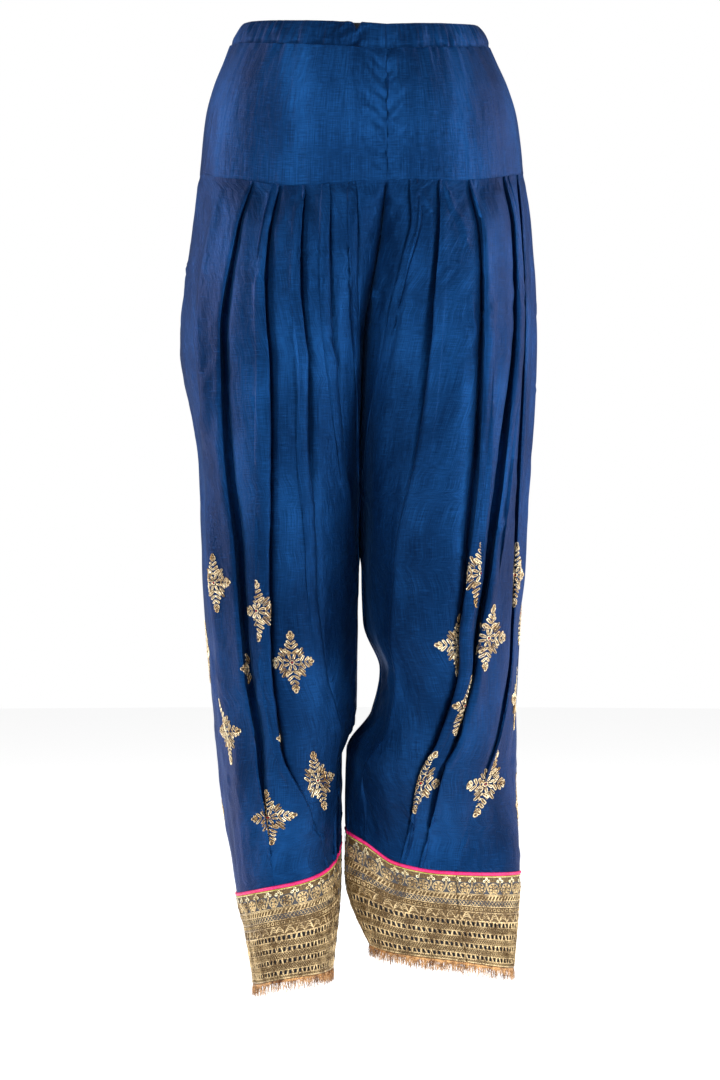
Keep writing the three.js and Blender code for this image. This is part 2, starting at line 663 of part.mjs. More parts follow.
/** Raised motif: the leg surface moved out and cut to a pointed star. */
function motifGeometry(leg, [share, level, width, height, from, to]) {
  const { points, normals } = leg.surface;
  let best = Infinity;
  let r0 = 0;
  const columns = columnsAt(leg, level);
  LEG_LEVELS.forEach((z, r) => {
    if (Math.abs(z - level) < best) {
      best = Math.abs(z - level);
      r0 = r;
    }
  });
  let c0 = 0;
  columns.forEach((col, c) => {
    if (Math.abs(col.share - share) < Math.abs(columns[c0].share - share)) c0 = c;
  });
  const section = sectionAt(leg, level);
  const p = section.point(share);
  const across = section.outward(share);
  const centre = new THREE.Vector3(p[0], p[1], 0);
  const rowZ = points[r0][c0].z - LEG_LEVELS[r0];
  centre.z = level + rowZ;
  const facing = new THREE.Vector3(across[0], across[1], 0);
  const along = new THREE.Vector3(-across[1], across[0], 0);
  let rLow = r0;
  let rHigh = r0;
  while (rLow > 0 && points[rLow][c0].z < centre.z + height / 2 + 4) rLow--;
  while (rHigh < points.length - 1 && points[rHigh][c0].z > centre.z - height / 2 - 4) rHigh++;
  let cLow = c0;
  let cHigh = c0;
  const reach = (c) => Math.min(...[rLow, r0, rHigh].map((r) => (
    Math.abs(new THREE.Vector3().subVectors(points[r][c], centre).dot(along)))));
  while (cLow > 1 && reach(cLow) < width / 2 + 3) cLow--;
  while (cHigh < points[0].length - 2 && reach(cHigh) < width / 2 + 3) cHigh++;
  const lift = (d) => {
    const grid = [];
    for (let r = rLow; r <= rHigh; r++) {
      const row = [];
      for (let c = cLow; c <= cHigh; c++) {
        row.push(points[r][c].clone().addScaledVector(normals[r][c], d));
      }
      grid.push(row);
    }
    return grid;
  };
  const slab = toManifold(shellGeometry(
    lift(MOTIF_CLEARANCE + MOTIF_THICKNESS), lift(MOTIF_CLEARANCE), leg.side, false,
    (points[0].length - 1) / 2 - cLow));
  const w = width / 2;
  const h = height / 2;
  const star = [
    [0, h], [w * 0.3, h * 0.36], [w, 0], [w * 0.3, -h * 0.36],
    [0, -h], [-w * 0.3, -h * 0.36], [-w, 0], [-w * 0.3, h * 0.36],
  ];
  const shown = new THREE.BoxGeometry(w * (to - from) + 2, 90, height + 4);
  shown.deleteAttribute('normal');
  shown.deleteAttribute('uv');
  shown.translate(w * (from + to) / 2, 0, 0);
  shown.rotateZ(Math.atan2(along.y, along.x));
  shown.translate(centre.x, centre.y, centre.z);
  const position = [];
  [-45, 45].forEach((d) => {
    [[0, 0], ...star].forEach(([a, b]) => {
      const q = centre.clone().addScaledVector(along, a).addScaledVector(facing, d);
      position.push(q.x, q.y, q.z + b);
    });
  });
  const index = [];
  for (let i = 0; i < 8; i++) {
    const a = 1 + i;
    const b = 1 + (i + 1) % 8;
    index.push(0, a, b, 9, 9 + b, 9 + a, a, 9 + a, 9 + b, a, 9 + b, b);
  }
  const prism = new THREE.BufferGeometry();
  prism.setAttribute('position', new THREE.Float32BufferAttribute(position, 3));
  prism.setIndex(index);
  let cutter = toManifold(prism);
  if (cutter.volume() <= 0) {
    prism.setIndex([...index].reverse());
    cutter = toManifold(prism);
  }
  const cut = slab.intersect(cutter).intersect(toManifold(shown)).decompose();
  cut.sort((a, b) => b.volume() - a.volume());
  return fromManifold(cut[0]);
}

const legs = [
  { name: 'right', side: -1, sections: SECTIONS_RIGHT, folds: FOLDS_RIGHT, hem: HEM_RIGHT,
    yokeSeam: YOKE_SEAM_RIGHT, laceEnd: LACE_END_RIGHT, motifs: MOTIFS_RIGHT },
  { name: 'left', side: 1, sections: SECTIONS_LEFT, folds: FOLDS_LEFT, hem: HEM_LEFT,
    yokeSeam: YOKE_SEAM_LEFT, laceEnd: LACE_END_LEFT, motifs: MOTIFS_LEFT },
];

const group = new THREE.Group();
group.name = 'salwar';

/** Adds one named mesh with its own material. */
function addMesh(name, geometry, colour) {
  const roughness = colour === COLOURS.silk ? 0.5 : 0.6;
  const material = new THREE.MeshStandardMaterial({ color: colour, roughness });
  const mesh = new THREE.Mesh(geometry, material);
  mesh.name = name;
  group.add(mesh);
}

// Waist
addMesh('waist_casing', casingGeometry(legs), COLOURS.silk);

// Each half: yoke, leg panels and hem
for (const leg of legs) {
  const yoke = yokeSurface(leg);
  const lastColumn = yoke.points[0].length - 1;
  addMesh(`yoke_${leg.name}`, panelGeometry(yoke, 0, lastColumn, WALL), COLOURS.silk);
  leg.surface = legSurface(leg);
  const front = 1 + 3 * KUNDA_FOLD;
  const back = lastColumn - front;
  addMesh(`kunda_front_${leg.name}`, panelGeometry(leg.surface, 0, front, WALL), COLOURS.silk);
  addMesh(`side_panel_${leg.name}`, panelGeometry(leg.surface, front, back, WALL), COLOURS.silk);
  addMesh(
    `kunda_back_${leg.name}`, panelGeometry(leg.surface, back, lastColumn, WALL), COLOURS.silk);
  addMesh(`hem_piping_${leg.name}`, pipingGeometry(leg), COLOURS.piping);
  addMesh(`lace_band_${leg.name}`, laceGeometry(leg), COLOURS.lace);
  addMesh(`hem_fringe_${leg.name}`, fringeGeometry(leg), COLOURS.fringe);
  leg.motifs.forEach((motif, i) => {
    const label = String(i + 1).padStart(2, '0');
    addMesh(`motif_${leg.name}_${label}`, motifGeometry(leg, motif), COLOURS.embroidery);
  });
}

export default group;
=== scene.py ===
"""Pleated silk salwar trousers in worn form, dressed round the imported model.

The legs, yoke and casing are thin cloth shells on the form of their solids, with pleats, gathers
and creases. Lace, piping, fringe and embroidery are made thread by thread on the same form.
Sizes in this file are millimetres on the garment and become metres when a mesh is made.
"""
from __future__ import annotations

import logging
import math
from collections.abc import Callable
from dataclasses import dataclass
from enum import Enum

import bmesh
import bpy
import numpy as np
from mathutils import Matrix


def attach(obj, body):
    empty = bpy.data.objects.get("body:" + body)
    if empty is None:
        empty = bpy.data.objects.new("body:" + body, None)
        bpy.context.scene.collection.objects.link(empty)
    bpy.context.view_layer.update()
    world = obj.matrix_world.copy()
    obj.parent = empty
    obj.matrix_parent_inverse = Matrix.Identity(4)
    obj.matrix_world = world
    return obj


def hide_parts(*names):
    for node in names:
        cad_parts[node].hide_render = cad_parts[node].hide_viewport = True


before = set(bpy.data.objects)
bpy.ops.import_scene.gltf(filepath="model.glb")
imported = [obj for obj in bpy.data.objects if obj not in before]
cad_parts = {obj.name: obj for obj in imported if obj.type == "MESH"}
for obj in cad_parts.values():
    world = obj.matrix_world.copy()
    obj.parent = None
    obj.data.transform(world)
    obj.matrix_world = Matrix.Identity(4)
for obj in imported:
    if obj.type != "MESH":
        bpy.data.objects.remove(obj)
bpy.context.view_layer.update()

Array = np.ndarray
Piece = bpy.types.Object
Socket = bpy.types.NodeSocket
Value = Socket | float | tuple
Pairs = tuple[tuple[float, float], ...]

LOG = logging.getLogger("salwar")
MM = 0.001
BODY = "root"
UV_UNIT = 100.0

FRONT_SEAM_X = 26.0
YOKE_SEAM_LEVEL = -148.0
CROTCH_LEVEL = -530.0
HEM_LEVEL = -845.0
SEAM_GAP = 0.08
SEAM_LAP = 0.15
PIPING_RADIUS = 1.8
CLOTH_THICKNESS = 1.1
THREAD_ANGLE = 80.0

SECTION_COLUMNS = (
    "level", "out_x", "front_x", "front_y", "back_x", "back_y",
    "seam_front_x", "seam_front_y", "seam_back_x", "seam_back_y",
)
FOLD_LEVELS = (-148, -200, -310, -430, -530, -620, -700, -775, -845)
VALLEY_WIDTH = (0.016, 0.016, 0.017, 0.017, 0.016, 0.015, 0.013, 0.011, 0.011)
CENTRE_LINE = ((-148, FRONT_SEAM_X), (-200, 20), (-310, 3), (-430, 0), (-530, 0), (-600, 0))
CASING_TOP = ((0, 0), (0.25, 5), (0.5, 11), (0.75, 12), (1, 12))
CASING_SEAM = ((0, -27), (0.25, -20), (0.5, -12), (0.75, -12), (1, -12))
YOKE_SPREAD = ((0, 0), (0.09, 0.17), (0.32, 0.56), (0.54, 0.8), (0.77, 0.92), (1, 1))


class Side(Enum):
    """The wearer's side that a leg is on, with its sign along X."""

    RIGHT = -1
    LEFT = 1

    @property
    def label(self) -> str:
        """Name of the side as the nodes have it."""
        return self.name.lower()


class Slot(Enum):
    """Names of material slots."""

    SILK = "blue_silk"
    LACE = "gold_lace"
    PIPING = "magenta_piping"
    FRINGE = "copper_fringe"
    EMBROIDERY = "gold_embroidery"


def curve_at(xs: Array, ys: Array, x: Array) -> Array:
    """Read a monotone cubic curve.

    Args:
        xs: Rising places of the known values.
        ys: The known values.
        x: Places to read, a number or an array.

    Returns:
        The curve's values at x.
    """
    xs = np.asarray(xs, float)
    ys = np.asarray(ys, float)
    h = np.diff(xs)
    d = np.diff(ys) / h
    m = np.zeros(len(xs))
    m[0] = d[0]
    m[-1] = d[-1]
    for i in range(1, len(xs) - 1):
        if d[i - 1] * d[i] > 0:
            w1 = 2 * h[i] + h[i - 1]
            w2 = h[i] + 2 * h[i - 1]
            m[i] = (w1 + w2) / (w1 / d[i - 1] + w2 / d[i])
    x = np.clip(np.asarray(x, float), xs[0], xs[-1])
    i = np.clip(np.searchsorted(xs, x, side="right") - 1, 0, len(xs) - 2)
    t = (x - xs[i]) / h[i]
    s = 1 - t
    near = (1 + 2 * t) * s * s * ys[i] + t * s * s * h[i] * m[i]
    return near + t * t * (3 - 2 * t) * ys[i + 1] - t * t * s * h[i] * m[i + 1]


def table_at(pairs: Pairs, x: Array) -> Array:
    """Read a table of pairs, rising or falling, as a smooth curve."""
    rows = sorted(pairs)
    return curve_at([row[0] for row in rows], [row[1] for row in rows], x)


def at_fold_level(values: tuple, level: Array) -> Array:
    """Read values that are listed at FOLD_LEVELS."""
    return curve_at([-z for z in FOLD_LEVELS], values, -np.asarray(level, float))


def soft_noise(u: Array, v: Array, seed: int) -> Array:
    """Smooth noise from -1 to 1, with cells one unit wide.

    Args:
        u: Places across.
        v: Places along, of the same shape.
        seed: Seed of the values.

    Returns:
        Noise at each place.
    """
    size = 256
    table = np.random.default_rng(seed).uniform(-1, 1, (size, size))
    iu = np.floor(u).astype(int)
    iv = np.floor(v).astype(int)
    fu = u - iu
    fv = v - iv
    fu = fu * fu * (3 - 2 * fu)
    fv = fv * fv * (3 - 2 * fv)
    a = table[iu % size, iv % size]
    b = table[(iu + 1) % size, iv % size]
    c = table[iu % size, (iv + 1) % size]
    d = table[(iu + 1) % size, (iv + 1) % size]
    return (a * (1 - fu) + b * fu) * (1 - fv) + (c * (1 - fu) + d * fu) * fv


def smooth_step(low: float, high: float, x: Array) -> Array:
    """Soft step from 0 at low to 1 at high."""
    t = np.clip((np.asarray(x, float) - low) / (high - low), 0, 1)
    return t * t * (3 - 2 * t)


def grid_normals(points: Array, sign: float) -> Array:
    """Unit normals of a grid of points.

    Args:
        points: Array of rows, columns and xyz.
        sign: 1 or -1, so that the normals point outwards.

    Returns:
        Array of the same shape.
    """
    down = np.gradient(points, axis=0)
    along = np.gradient(points, axis=1)
    return unit(np.cross(down, along) * sign)


def unit(vectors: Array) -> Array:
    """Vectors of an array at a length of 1."""
    return vectors / np.maximum(np.linalg.norm(vectors, axis=-1, keepdims=True), 1e-9)


def arc_length(points: Array) -> Array:
    """Distance along a line of points, or along each row of a grid, from its first point."""
    steps = np.linalg.norm(np.diff(points, axis=-2), axis=-1)
    start = np.zeros((*steps.shape[:-1], 1))
    return np.concatenate([start, np.cumsum(steps, axis=-1)], axis=-1)


def along_line(want: Array, known: Array, line: Array) -> Array:
    """Points or directions of a line at wanted distances.

    Args:
        want: Distances, a number or an array.
        known: Distance of each point of the line.
        line: Points or directions of the line.

    Returns:
        One row for each wanted distance.
    """
    return np.stack([np.interp(want, known, column) for column in line.T], axis=-1)


def turned(points: Array, degrees: float) -> Array:
    """Points turned in their own plane, from the first axis towards the second."""
    a = math.radians(degrees)
    x = points[:, 0] * math.cos(a) - points[:, 1] * math.sin(a)
    y = points[:, 0] * math.sin(a) + points[:, 1] * math.cos(a)
    return np.stack([x, y, points[:, 2]], axis=1)


def polar(reach: float, degrees: float) -> tuple[float, float]:
    """Places across and up at a distance and an angle."""
    a = math.radians(degrees)
    return reach * math.cos(a), reach * math.sin(a)


@dataclass(frozen=True)
class Fold:
    """A knife pleat: its ridge's share round the leg and its depth, at FOLD_LEVELS."""

    share: tuple[float, ...]
    depth: tuple[float, ...]


@dataclass(frozen=True)
class SoftFold:
    """A soft ridge or trough that runs down the cloth.

    Its path has rows of level, share, depth and half width; a negative depth is a trough.
    """

    path: tuple[tuple[float, float, float, float], ...]


@dataclass(frozen=True)
class Crease:
    """A short crease from one place to another, bowed sideways, in millimetres of depth."""

    share_a: float
    level_a: float
    share_b: float
    level_b: float
    depth: float
    width: float
    bow: float = 0.0

    def relief(self, girth: float, s: Array, z: Array) -> Array:
        """Height of the crease at each place of a cloth.

        Args:
            girth: Length that a share of 1 stands for.
            s: Places across, in millimetres.
            z: Levels of the same shape.

        Returns:
            Height over the cloth, with a trough along one side of the ridge.
        """
        a = np.array([self.share_a * girth, self.level_a])
        b = np.array([self.share_b * girth, self.level_b])
        way = b - a
        size = float(np.hypot(*way))
        way /= size
        along = ((s - a[0]) * way[0] + (z - a[1]) * way[1]) / size
        across = (s - a[0]) * -way[1] + (z - a[1]) * way[0]
        across = across - self.bow * np.sin(np.clip(along, 0, 1) * math.pi)
        ends = smooth_step(-0.08, 0.3, along) * (1 - smooth_step(0.62, 1.08, along))
        ridge = np.exp(-(across / self.width) ** 2)
        trough = np.exp(-((across + 1.7 * self.width) / (1.2 * self.width)) ** 2)
        return self.depth * ends * (ridge - 0.6 * trough)


@dataclass(frozen=True)
class Cut:
    """Flat piece of cloth before it is sewn: width and length in metres, area in square metres."""

    width: float
    length: float
    area: float

    def declare(self, obj: Piece, with_pieces: tuple = ()) -> None:
        """Do nothing: the piece and its cut size are not recorded."""


@dataclass(frozen=True)
class LegPlan:
    """Sizes of one leg."""

    side: Side
    side_cut: Cut
    kunda_cut: Cut
    yoke_cut: Cut
    sections: tuple[tuple[float, ...], ...]
    folds: tuple[Fold, ...]
    yoke_seam: Pairs
    hem: Pairs
    lace_end: Pairs
    soft_folds: tuple[SoftFold, ...] = ()
    creases: tuple[Crease, ...] = ()
    yoke_creases: tuple[Crease, ...] = ()
    seed: int = 1


LACE_CUT = Cut(0.46, 0.1, 0.046)

RIGHT_PLAN = LegPlan(
    side=Side.RIGHT,
    side_cut=Cut(0.56, 0.7, 0.37),
    kunda_cut=Cut(0.15, 0.7, 0.098),
    yoke_cut=Cut(0.46, 0.145, 0.062),
    sections=(
        (-148, -160, 25, -117, 0, 124, 26, -117, 0, 124),
        (-200, -167, -25, -127, -25, 132, 20, -100, 0, 118),
        (-310, -178, -70, -138, -70, 145, 3, -70, 0, 100),
        (-430, -160, -82, -136, -80, 142, 0, -30, 0, 60),
        (-530, -157, -82, -128, -80, 132, -1, 10, -1, 10),
        (-620, -151, -78, -116, -78, 118, -3, 8, -3, 8),
        (-690, -145, -76, -104, -78, 106, -4, 6, -4, 6),
        (-745, -139, -76, -94, -78, 96, -19, 4, -19, 4),
        (-835, -125, -72, -80, -72, 80, -19, 0, -19, 0),
        (-940, -107, -66, -80, -66, 80, -28, 0, -28, 0),
    ),
    folds=(
        Fold((0.066, 0.07, 0.055, 0.042, 0.034, 0.034, 0.03, 0.026, 0.024),
             (3, 8, 12, 5, 0, 0, 0, 0, 0)),
        Fold((0.12, 0.122, 0.112, 0.114, 0.085, 0.07, 0.06, 0.052, 0.052),
             (3, 9, 15, 16, 8, 4, 2, 1, 0)),
        Fold((0.172, 0.173, 0.158, 0.187, 0.205, 0.188, 0.133, 0.092, 0.084),
             (3, 10, 17, 20, 19, 15, 10, 5, 0)),
        Fold((0.229, 0.236, 0.216, 0.245, 0.272, 0.274, 0.262, 0.195, 0.125),
             (3, 10, 15, 18, 19, 19, 18, 13, 4)),
        Fold((0.293, 0.306, 0.3, 0.32, 0.319, 0.317, 0.301, 0.287, 0.28),
             (3, 9, 15, 18, 20, 18, 14, 4, 0)),
    ),
    yoke_seam=((0, -156), (0.18, -161), (0.35, -150), (0.5, -140), (0.75, -142), (1, -146)),
    hem=((0, -800), (0.1, -824), (0.25, -841), (0.5, -857), (0.75, -852), (0.9, -828), (1, -800)),
    lace_end=((0, -931), (0.2, -930), (0.4, -943), (0.5, -946), (0.75, -945), (1, -931)),
    soft_folds=(
        SoftFold((
            (-148, 0.374, 1.5, 5), (-215, 0.373, 4, 9), (-362, 0.342, 6, 11), (-430, 0.397, 5, 13),
            (-530, 0.375, 6, 13), (-620, 0.382, 5, 14), (-720, 0.36, 3, 14),
        )),
    ),
    creases=tuple(Crease(*row) for row in (
        (0.055, -196, 0.035, -214, 1.8, 1.8), (0.062, -190, 0.05, -208, 1.5, 1.6, 2),
        (0.035, -190, 0.05, -206, 1.4, 1.6), (0.028, -176, 0.012, -200, 1.8, 2.2),
        (0.012, -158, 0.04, -186, 2, 2.2, 3), (0.1, -212, 0.085, -240, 1.6, 2, -3),
        (0.075, -240, 0.095, -262, 1.5, 2), (0.05, -262, 0.03, -320, 1.6, 2.6, 4),
        (0.13, -300, 0.11, -350, 1.6, 2.6, -4), (0.09, -420, 0.11, -470, 1.6, 2.8, 4),
        (0.17, -540, 0.15, -600, 1.8, 3, 5), (0.1, -640, 0.05, -700, 2.2, 3.4, 6),
        (0.07, -690, 0.02, -720, 2.4, 3.2, 4), (0.2, -790, 0.12, -812, 1.8, 2.8, 5),
        (0.26, -800, 0.19, -822, 1.6, 2.6, -5), (0.3, -780, 0.34, -806, 1.6, 2.4, 4),
    )),
    yoke_creases=tuple(Crease(*row) for row in (
        (0.008, -26, 0.05, -74, 2.2, 1.5, 2), (0.006, -72, 0.05, -101, 2.2, 1.5, -1),
        (0.03, -20, 0.045, -52, 1.5, 1.4), (0.075, -8, 0.085, -30, 1.4, 1.6),
        (0.02, -92, 0.03, -124, 1.5, 1.6, 2),
    )),
    seed=11,
)

LEFT_PLAN = LegPlan(
    side=Side.LEFT,
    side_cut=Cut(0.45, 0.69, 0.29),
    kunda_cut=Cut(0.21, 0.69, 0.133),
    yoke_cut=Cut(0.42, 0.14, 0.055),
    sections=(
        (-148, 163, 27, -117, 0, 124, 26, -117, 0, 124),
        (-200, 169, 62, -127, 25, 132, 20, -100, 0, 118),
        (-310, 174, 88, -138, 75, 145, 3, -70, 0, 100),
        (-430, 168, 88, -136, 82, 142, 0, -30, 0, 60),
        (-530, 163, 86, -128, 84, 132, 1, 10, 1, 10),
        (-600, 158, 78, -120, 84, 120, 3, 10, 3, 10),
        (-650, 156, 76, -110, 90, 110, 20, 10, 20, 10),
        (-700, 157, 72, -100, 94, 100, 12, 8, 12, 8),
        (-745, 156, 66, -84, 96, 82, -13, 4, -13, 4),
        (-835, 160, 56, -47, 96, 41, -15, -6, -15, -6),
        (-940, 153, 66, -58, 108, 58, 25, -5, 25, -5),
    ),
    folds=(
        Fold((0.052, 0.086, 0.088, 0.06, 0.04, 0.035, 0.035, 0.03, 0.026),
             (3, 8, 11, 4, 0, 0, 0, 0, 0)),
        Fold((0.121, 0.142, 0.172, 0.188, 0.183, 0.175, 0.15, 0.1, 0.08),
             (3, 9, 16, 20, 20, 19, 13, 6, 0)),
        Fold((0.196, 0.231, 0.257, 0.279, 0.29, 0.289, 0.256, 0.217, 0.17),
             (3, 10, 16, 20, 21, 20, 18, 12, 3)),
        Fold((0.307, 0.331, 0.333, 0.33, 0.327, 0.318, 0.291, 0.259, 0.215),
             (3, 10, 16, 18, 20, 20, 17, 12, 4)),
        Fold((0.375, 0.372, 0.374, 0.386, 0.4, 0.42, 0.385, 0.345, 0.3),
             (2, 5, 7, 10, 9, 8, 3, 0, 0)),
    ),
    yoke_seam=((0, -156), (0.15, -155.5), (0.38, -143), (0.5, -137), (0.75, -140), (1, -146)),
    hem=(
        (0, -791), (0.08, -803), (0.16, -823), (0.27, -832), (0.5, -836), (0.75, -834),
        (0.9, -812), (1, -791),
    ),
    lace_end=((0, -906), (0.25, -917), (0.5, -931), (0.75, -929), (1, -906)),
    soft_folds=(
        SoftFold((
            (-148, 0.44, 0.5, 6), (-240, 0.425, 3, 9), (-430, 0.43, 4, 11), (-600, 0.45, 3, 12),
        )),
        SoftFold((
            (-200, 0.105, 1, 6), (-300, 0.12, 3, 9), (-430, 0.11, 4, 14), (-620, 0.1, 3, 16),
        )),
    ),
    creases=tuple(Crease(*row) for row in (
        (0.128, -150, 0.163, -184, 2.4, 2.2, 2), (0.088, -162, 0.118, -180, 2, 2),
        (0.03, -150, 0.02, -182, 2.4, 2.4, 3), (0.06, -176, 0.045, -214, 2, 2.2, -3),
        (0.035, -240, 0.02, -292, 2.8, 3, 5), (0.055, -248, 0.03, -310, 2.2, 2.6, 5),
        (0.02, -200, 0.015, -240, 2.2, 2.6, 3), (0.205, -318, 0.222, -342, 2, 1.8),
        (0.24, -316, 0.224, -344, 2, 1.8), (0.225, -270, 0.25, -312, 1.8, 2, -3),
        (0.16, -176, 0.2, -214, 1.8, 2, 3), (0.27, -150, 0.295, -176, 1.8, 2),
        (0.04, -458, 0.11, -484, 2, 2.2, 2), (0.02, -520, 0.07, -560, 2, 2.6, 4),
        (0.14, -630, 0.08, -690, 2.4, 3.2, 6), (0.1, -690, 0.04, -730, 2.6, 3.4, 5),
        (0.16, -770, 0.22, -800, 1.8, 2.6, 4), (0.28, -796, 0.2, -812, 1.6, 2.6, -4),
    )),
    yoke_creases=tuple(Crease(*row) for row in (
        (0.002, -68, 0.028, -82, 2, 1.5), (0.002, -26, 0.008, -50, 1.8, 1.5),
        (0.03, -12, 0.02, -40, 1.4, 1.6), (0.01, -96, 0.03, -122, 1.6, 1.6, 2),
    )),
    seed=23,
)


@dataclass(frozen=True)
class PleatProfile:
    """Shape across a knife pleat that faces the centre.

    Each row is a place from the ridge, in valley widths, and a height, in pleat depths. The cloth
    runs in under the ridge, so that only a dark line shows. After the rows it falls by a shoulder
    to the middle of the face and then to the end of the face, beside the next valley.
    """

    rows: Pairs = ((-0.55, 0.04), (-0.16, -0.18), (0.3, -0.5), (0.36, -0.2), (0.06, 0.16),
                   (-0.06, 0.38), (0.24, 0.5), (1.05, 0.44))
    valley_row: int = 2
    valley_place: float = 0.5
    shoulder_place: float = 0.52
    shoulder_height: float = 0.42
    shoulder_fall: float = 0.35
    middle_place: float = 0.5
    middle_height: float = 0.32
    end_place: float = 0.76
    end_height: float = 0.06
    last_face: float = 0.1


@dataclass(frozen=True)
class LegForm:
    """Surface of one leg, worked out from its plan at any levels and shares."""

    plan: LegPlan
    profile: PleatProfile = PleatProfile()

    ARC_STEPS = 36
    SIDE_CONTROLS = 7
    GIRTH = 600.0
    REACH = 0.012

    @property
    def sign(self) -> int:
        """Sign of the leg's side along X."""
        return self.plan.side.value

    def section(self, levels: Array) -> tuple[Array, Array]:
        """Base outline of the leg at each level.

        Args:
            levels: One-dimensional array of levels.

        Returns:
            Points by level, and the share of each point round its outline.
        """
        sections = np.array(self.plan.sections, float)
        v = {
            name: curve_at(-sections[:, 0], sections[:, k], -levels)
            for k, name in enumerate(SECTION_COLUMNS)
        }
        low = levels <= CROTCH_LEVEL
        v["seam_back_x"] = np.where(low, v["seam_front_x"], v["seam_back_x"])
        v["seam_back_y"] = np.where(low, v["seam_front_y"], v["seam_back_y"])
        angle = np.linspace(0, math.pi / 2, self.ARC_STEPS + 1)
        zero = np.zeros_like(levels)
        parts = []
        for x0, x1, y0, y1, rising in (
            (v["front_x"], v["seam_front_x"], v["seam_front_y"], v["front_y"], True),
            (v["front_x"], v["out_x"], zero, v["front_y"], False),
            (v["back_x"], v["out_x"], zero, v["back_y"], True),
            (v["back_x"], v["seam_back_x"], v["seam_back_y"], v["back_y"], False),
        ):
            c = np.cos(angle) if rising else np.sin(angle)
            s = np.sin(angle) if rising else np.cos(angle)
            x = x0[:, None] + (x1 - x0)[:, None] * c
            y = y0[:, None] + (y1 - y0)[:, None] * s
            part = np.stack([x, y], axis=2)
            parts.append(part if not parts else part[:, 1:])
        points = np.concatenate(parts, axis=1)
        arc = arc_length(points)
        return points, arc / arc[:, -1:]

    def base(self, levels: Array, shares: Array) -> tuple[Array, Array]:
        """Base points and outward directions.

        Args:
            levels: Levels of the rows.
            shares: Shares by row and column.

        Returns:
            Points and unit directions in plan, by row and column.
        """
        outline, known = self.section(levels)

        def read(want: Array) -> Array:
            """Points of the outlines at the wanted shares."""
            rows = zip(np.clip(want, 0, 1), known, outline)
            return np.array([along_line(*row) for row in rows])

        along = unit(read(shares + self.REACH) - read(shares - self.REACH))
        outward = np.stack([along[:, :, 1], -along[:, :, 0]], axis=2) * self.sign
        return read(shares), outward

    def pleats(self, levels: Array) -> list[tuple[Array, Array]]:
        """Ridge share and depth of each pleat of the cloth, for each level.

        The cloth's pleats are fuller than the solid's, and fade at the yoke seam and the hem.
        """
        fade = 1 - 0.85 * smooth_step(760, 840, -levels)
        fade = fade * (0.35 + 0.65 * smooth_step(148, 162, -levels))
        made = []
        for fold in self.plan.folds:
            depth = at_fold_level(fold.depth, levels)
            depth = (0.8 * depth + 2.2 * smooth_step(1.0, 3.0, depth)) * fade
            made.append((at_fold_level(fold.share, levels), depth))
        return made

    def controls(self, levels: Array) -> tuple[Array, Array, list[str]]:
        """Control shares and heights round the leg, for each level.

        Args:
            levels: Levels of the rows.

        Returns:
            Shares, heights, and a kind for each column: seam, pleat, valley, face or side.
        """
        profile = self.profile
        width = at_fold_level(VALLEY_WIDTH, levels)
        pleats = self.pleats(levels)
        valleys = [s - profile.valley_place * width for s, _ in pleats]
        valleys.append(pleats[-1][0] + profile.last_face)
        columns: list[tuple[Array, Array]] = []
        kinds: list[str] = []
        middle = (np.zeros_like(levels), np.zeros_like(levels))
        for i, (s, d) in enumerate(pleats):
            columns.append((middle[0] + (valleys[i] - middle[0]) * profile.end_place,
                            0.5 * middle[1] + profile.end_height * d))
            kinds.append("face")
            for k, (across, height) in enumerate(profile.rows):
                columns.append((s + across * width, height * d))
                kinds.append("valley" if k == profile.valley_row else "pleat")
            middle = (s + (valleys[i + 1] - s) * profile.middle_place, profile.middle_height * d)
            high = profile.shoulder_height * d
            shoulder = (s + (middle[0] - s) * profile.shoulder_place,
                        high + (middle[1] - high) * profile.shoulder_fall)
            columns += [shoulder, middle]
            kinds += ["face", "face"]
        sides = []
        for i in range(self.SIDE_CONTROLS):
            t = (i + 1) / (self.SIDE_CONTROLS + 1)
            sides.append((middle[0] + (1 - 2 * middle[0]) * t, np.zeros_like(levels)))
        back = [(1 - s, d) for s, d in reversed(columns)]
        zero = np.zeros_like(levels)
        every = [(zero, zero), *columns, *sides, *back, (zero + 1, zero)]
        names = ["seam", *kinds, *["side"] * len(sides), *reversed(kinds), "seam"]
        return (np.stack([c[0] for c in every], axis=1),
                np.stack([c[1] for c in every], axis=1), names)


def spline_weights(knots: Array, counts: list[int]) -> Array:
    """Weights of a smooth curve through control values.

    Args:
        knots: Rising place of each control on the curve.
        counts: Number of steps between each control and the next.

    Returns:
        Matrix that turns control values into curve values.
    """
    n = len(knots)
    h = np.diff(knots)
    tangent = np.zeros((n, n))
    tangent[0, 0], tangent[0, 1] = -1 / h[0], 1 / h[0]
    tangent[-1, -2], tangent[-1, -1] = -1 / h[-1], 1 / h[-1]
    for i in range(1, n - 1):
        total = h[i - 1] + h[i]
        tangent[i, i - 1] = -h[i] / (h[i - 1] * total)
        tangent[i, i + 1] = h[i - 1] / (h[i] * total)
        tangent[i, i] = -(tangent[i, i - 1] + tangent[i, i + 1])
    unit = np.eye(n)
    rows = []
    for i in range(n - 1):
        for k in range(counts[i]):
            t = k / counts[i]
            s = 1 - t
            rows.append((1 + 2 * t) * s * s * unit[i] + t * t * (3 - 2 * t) * unit[i + 1]
                        + t * s * s * h[i] * tangent[i] - t * t * s * h[i] * tangent[i + 1])
    rows.append(unit[-1])
    return np.array(rows)


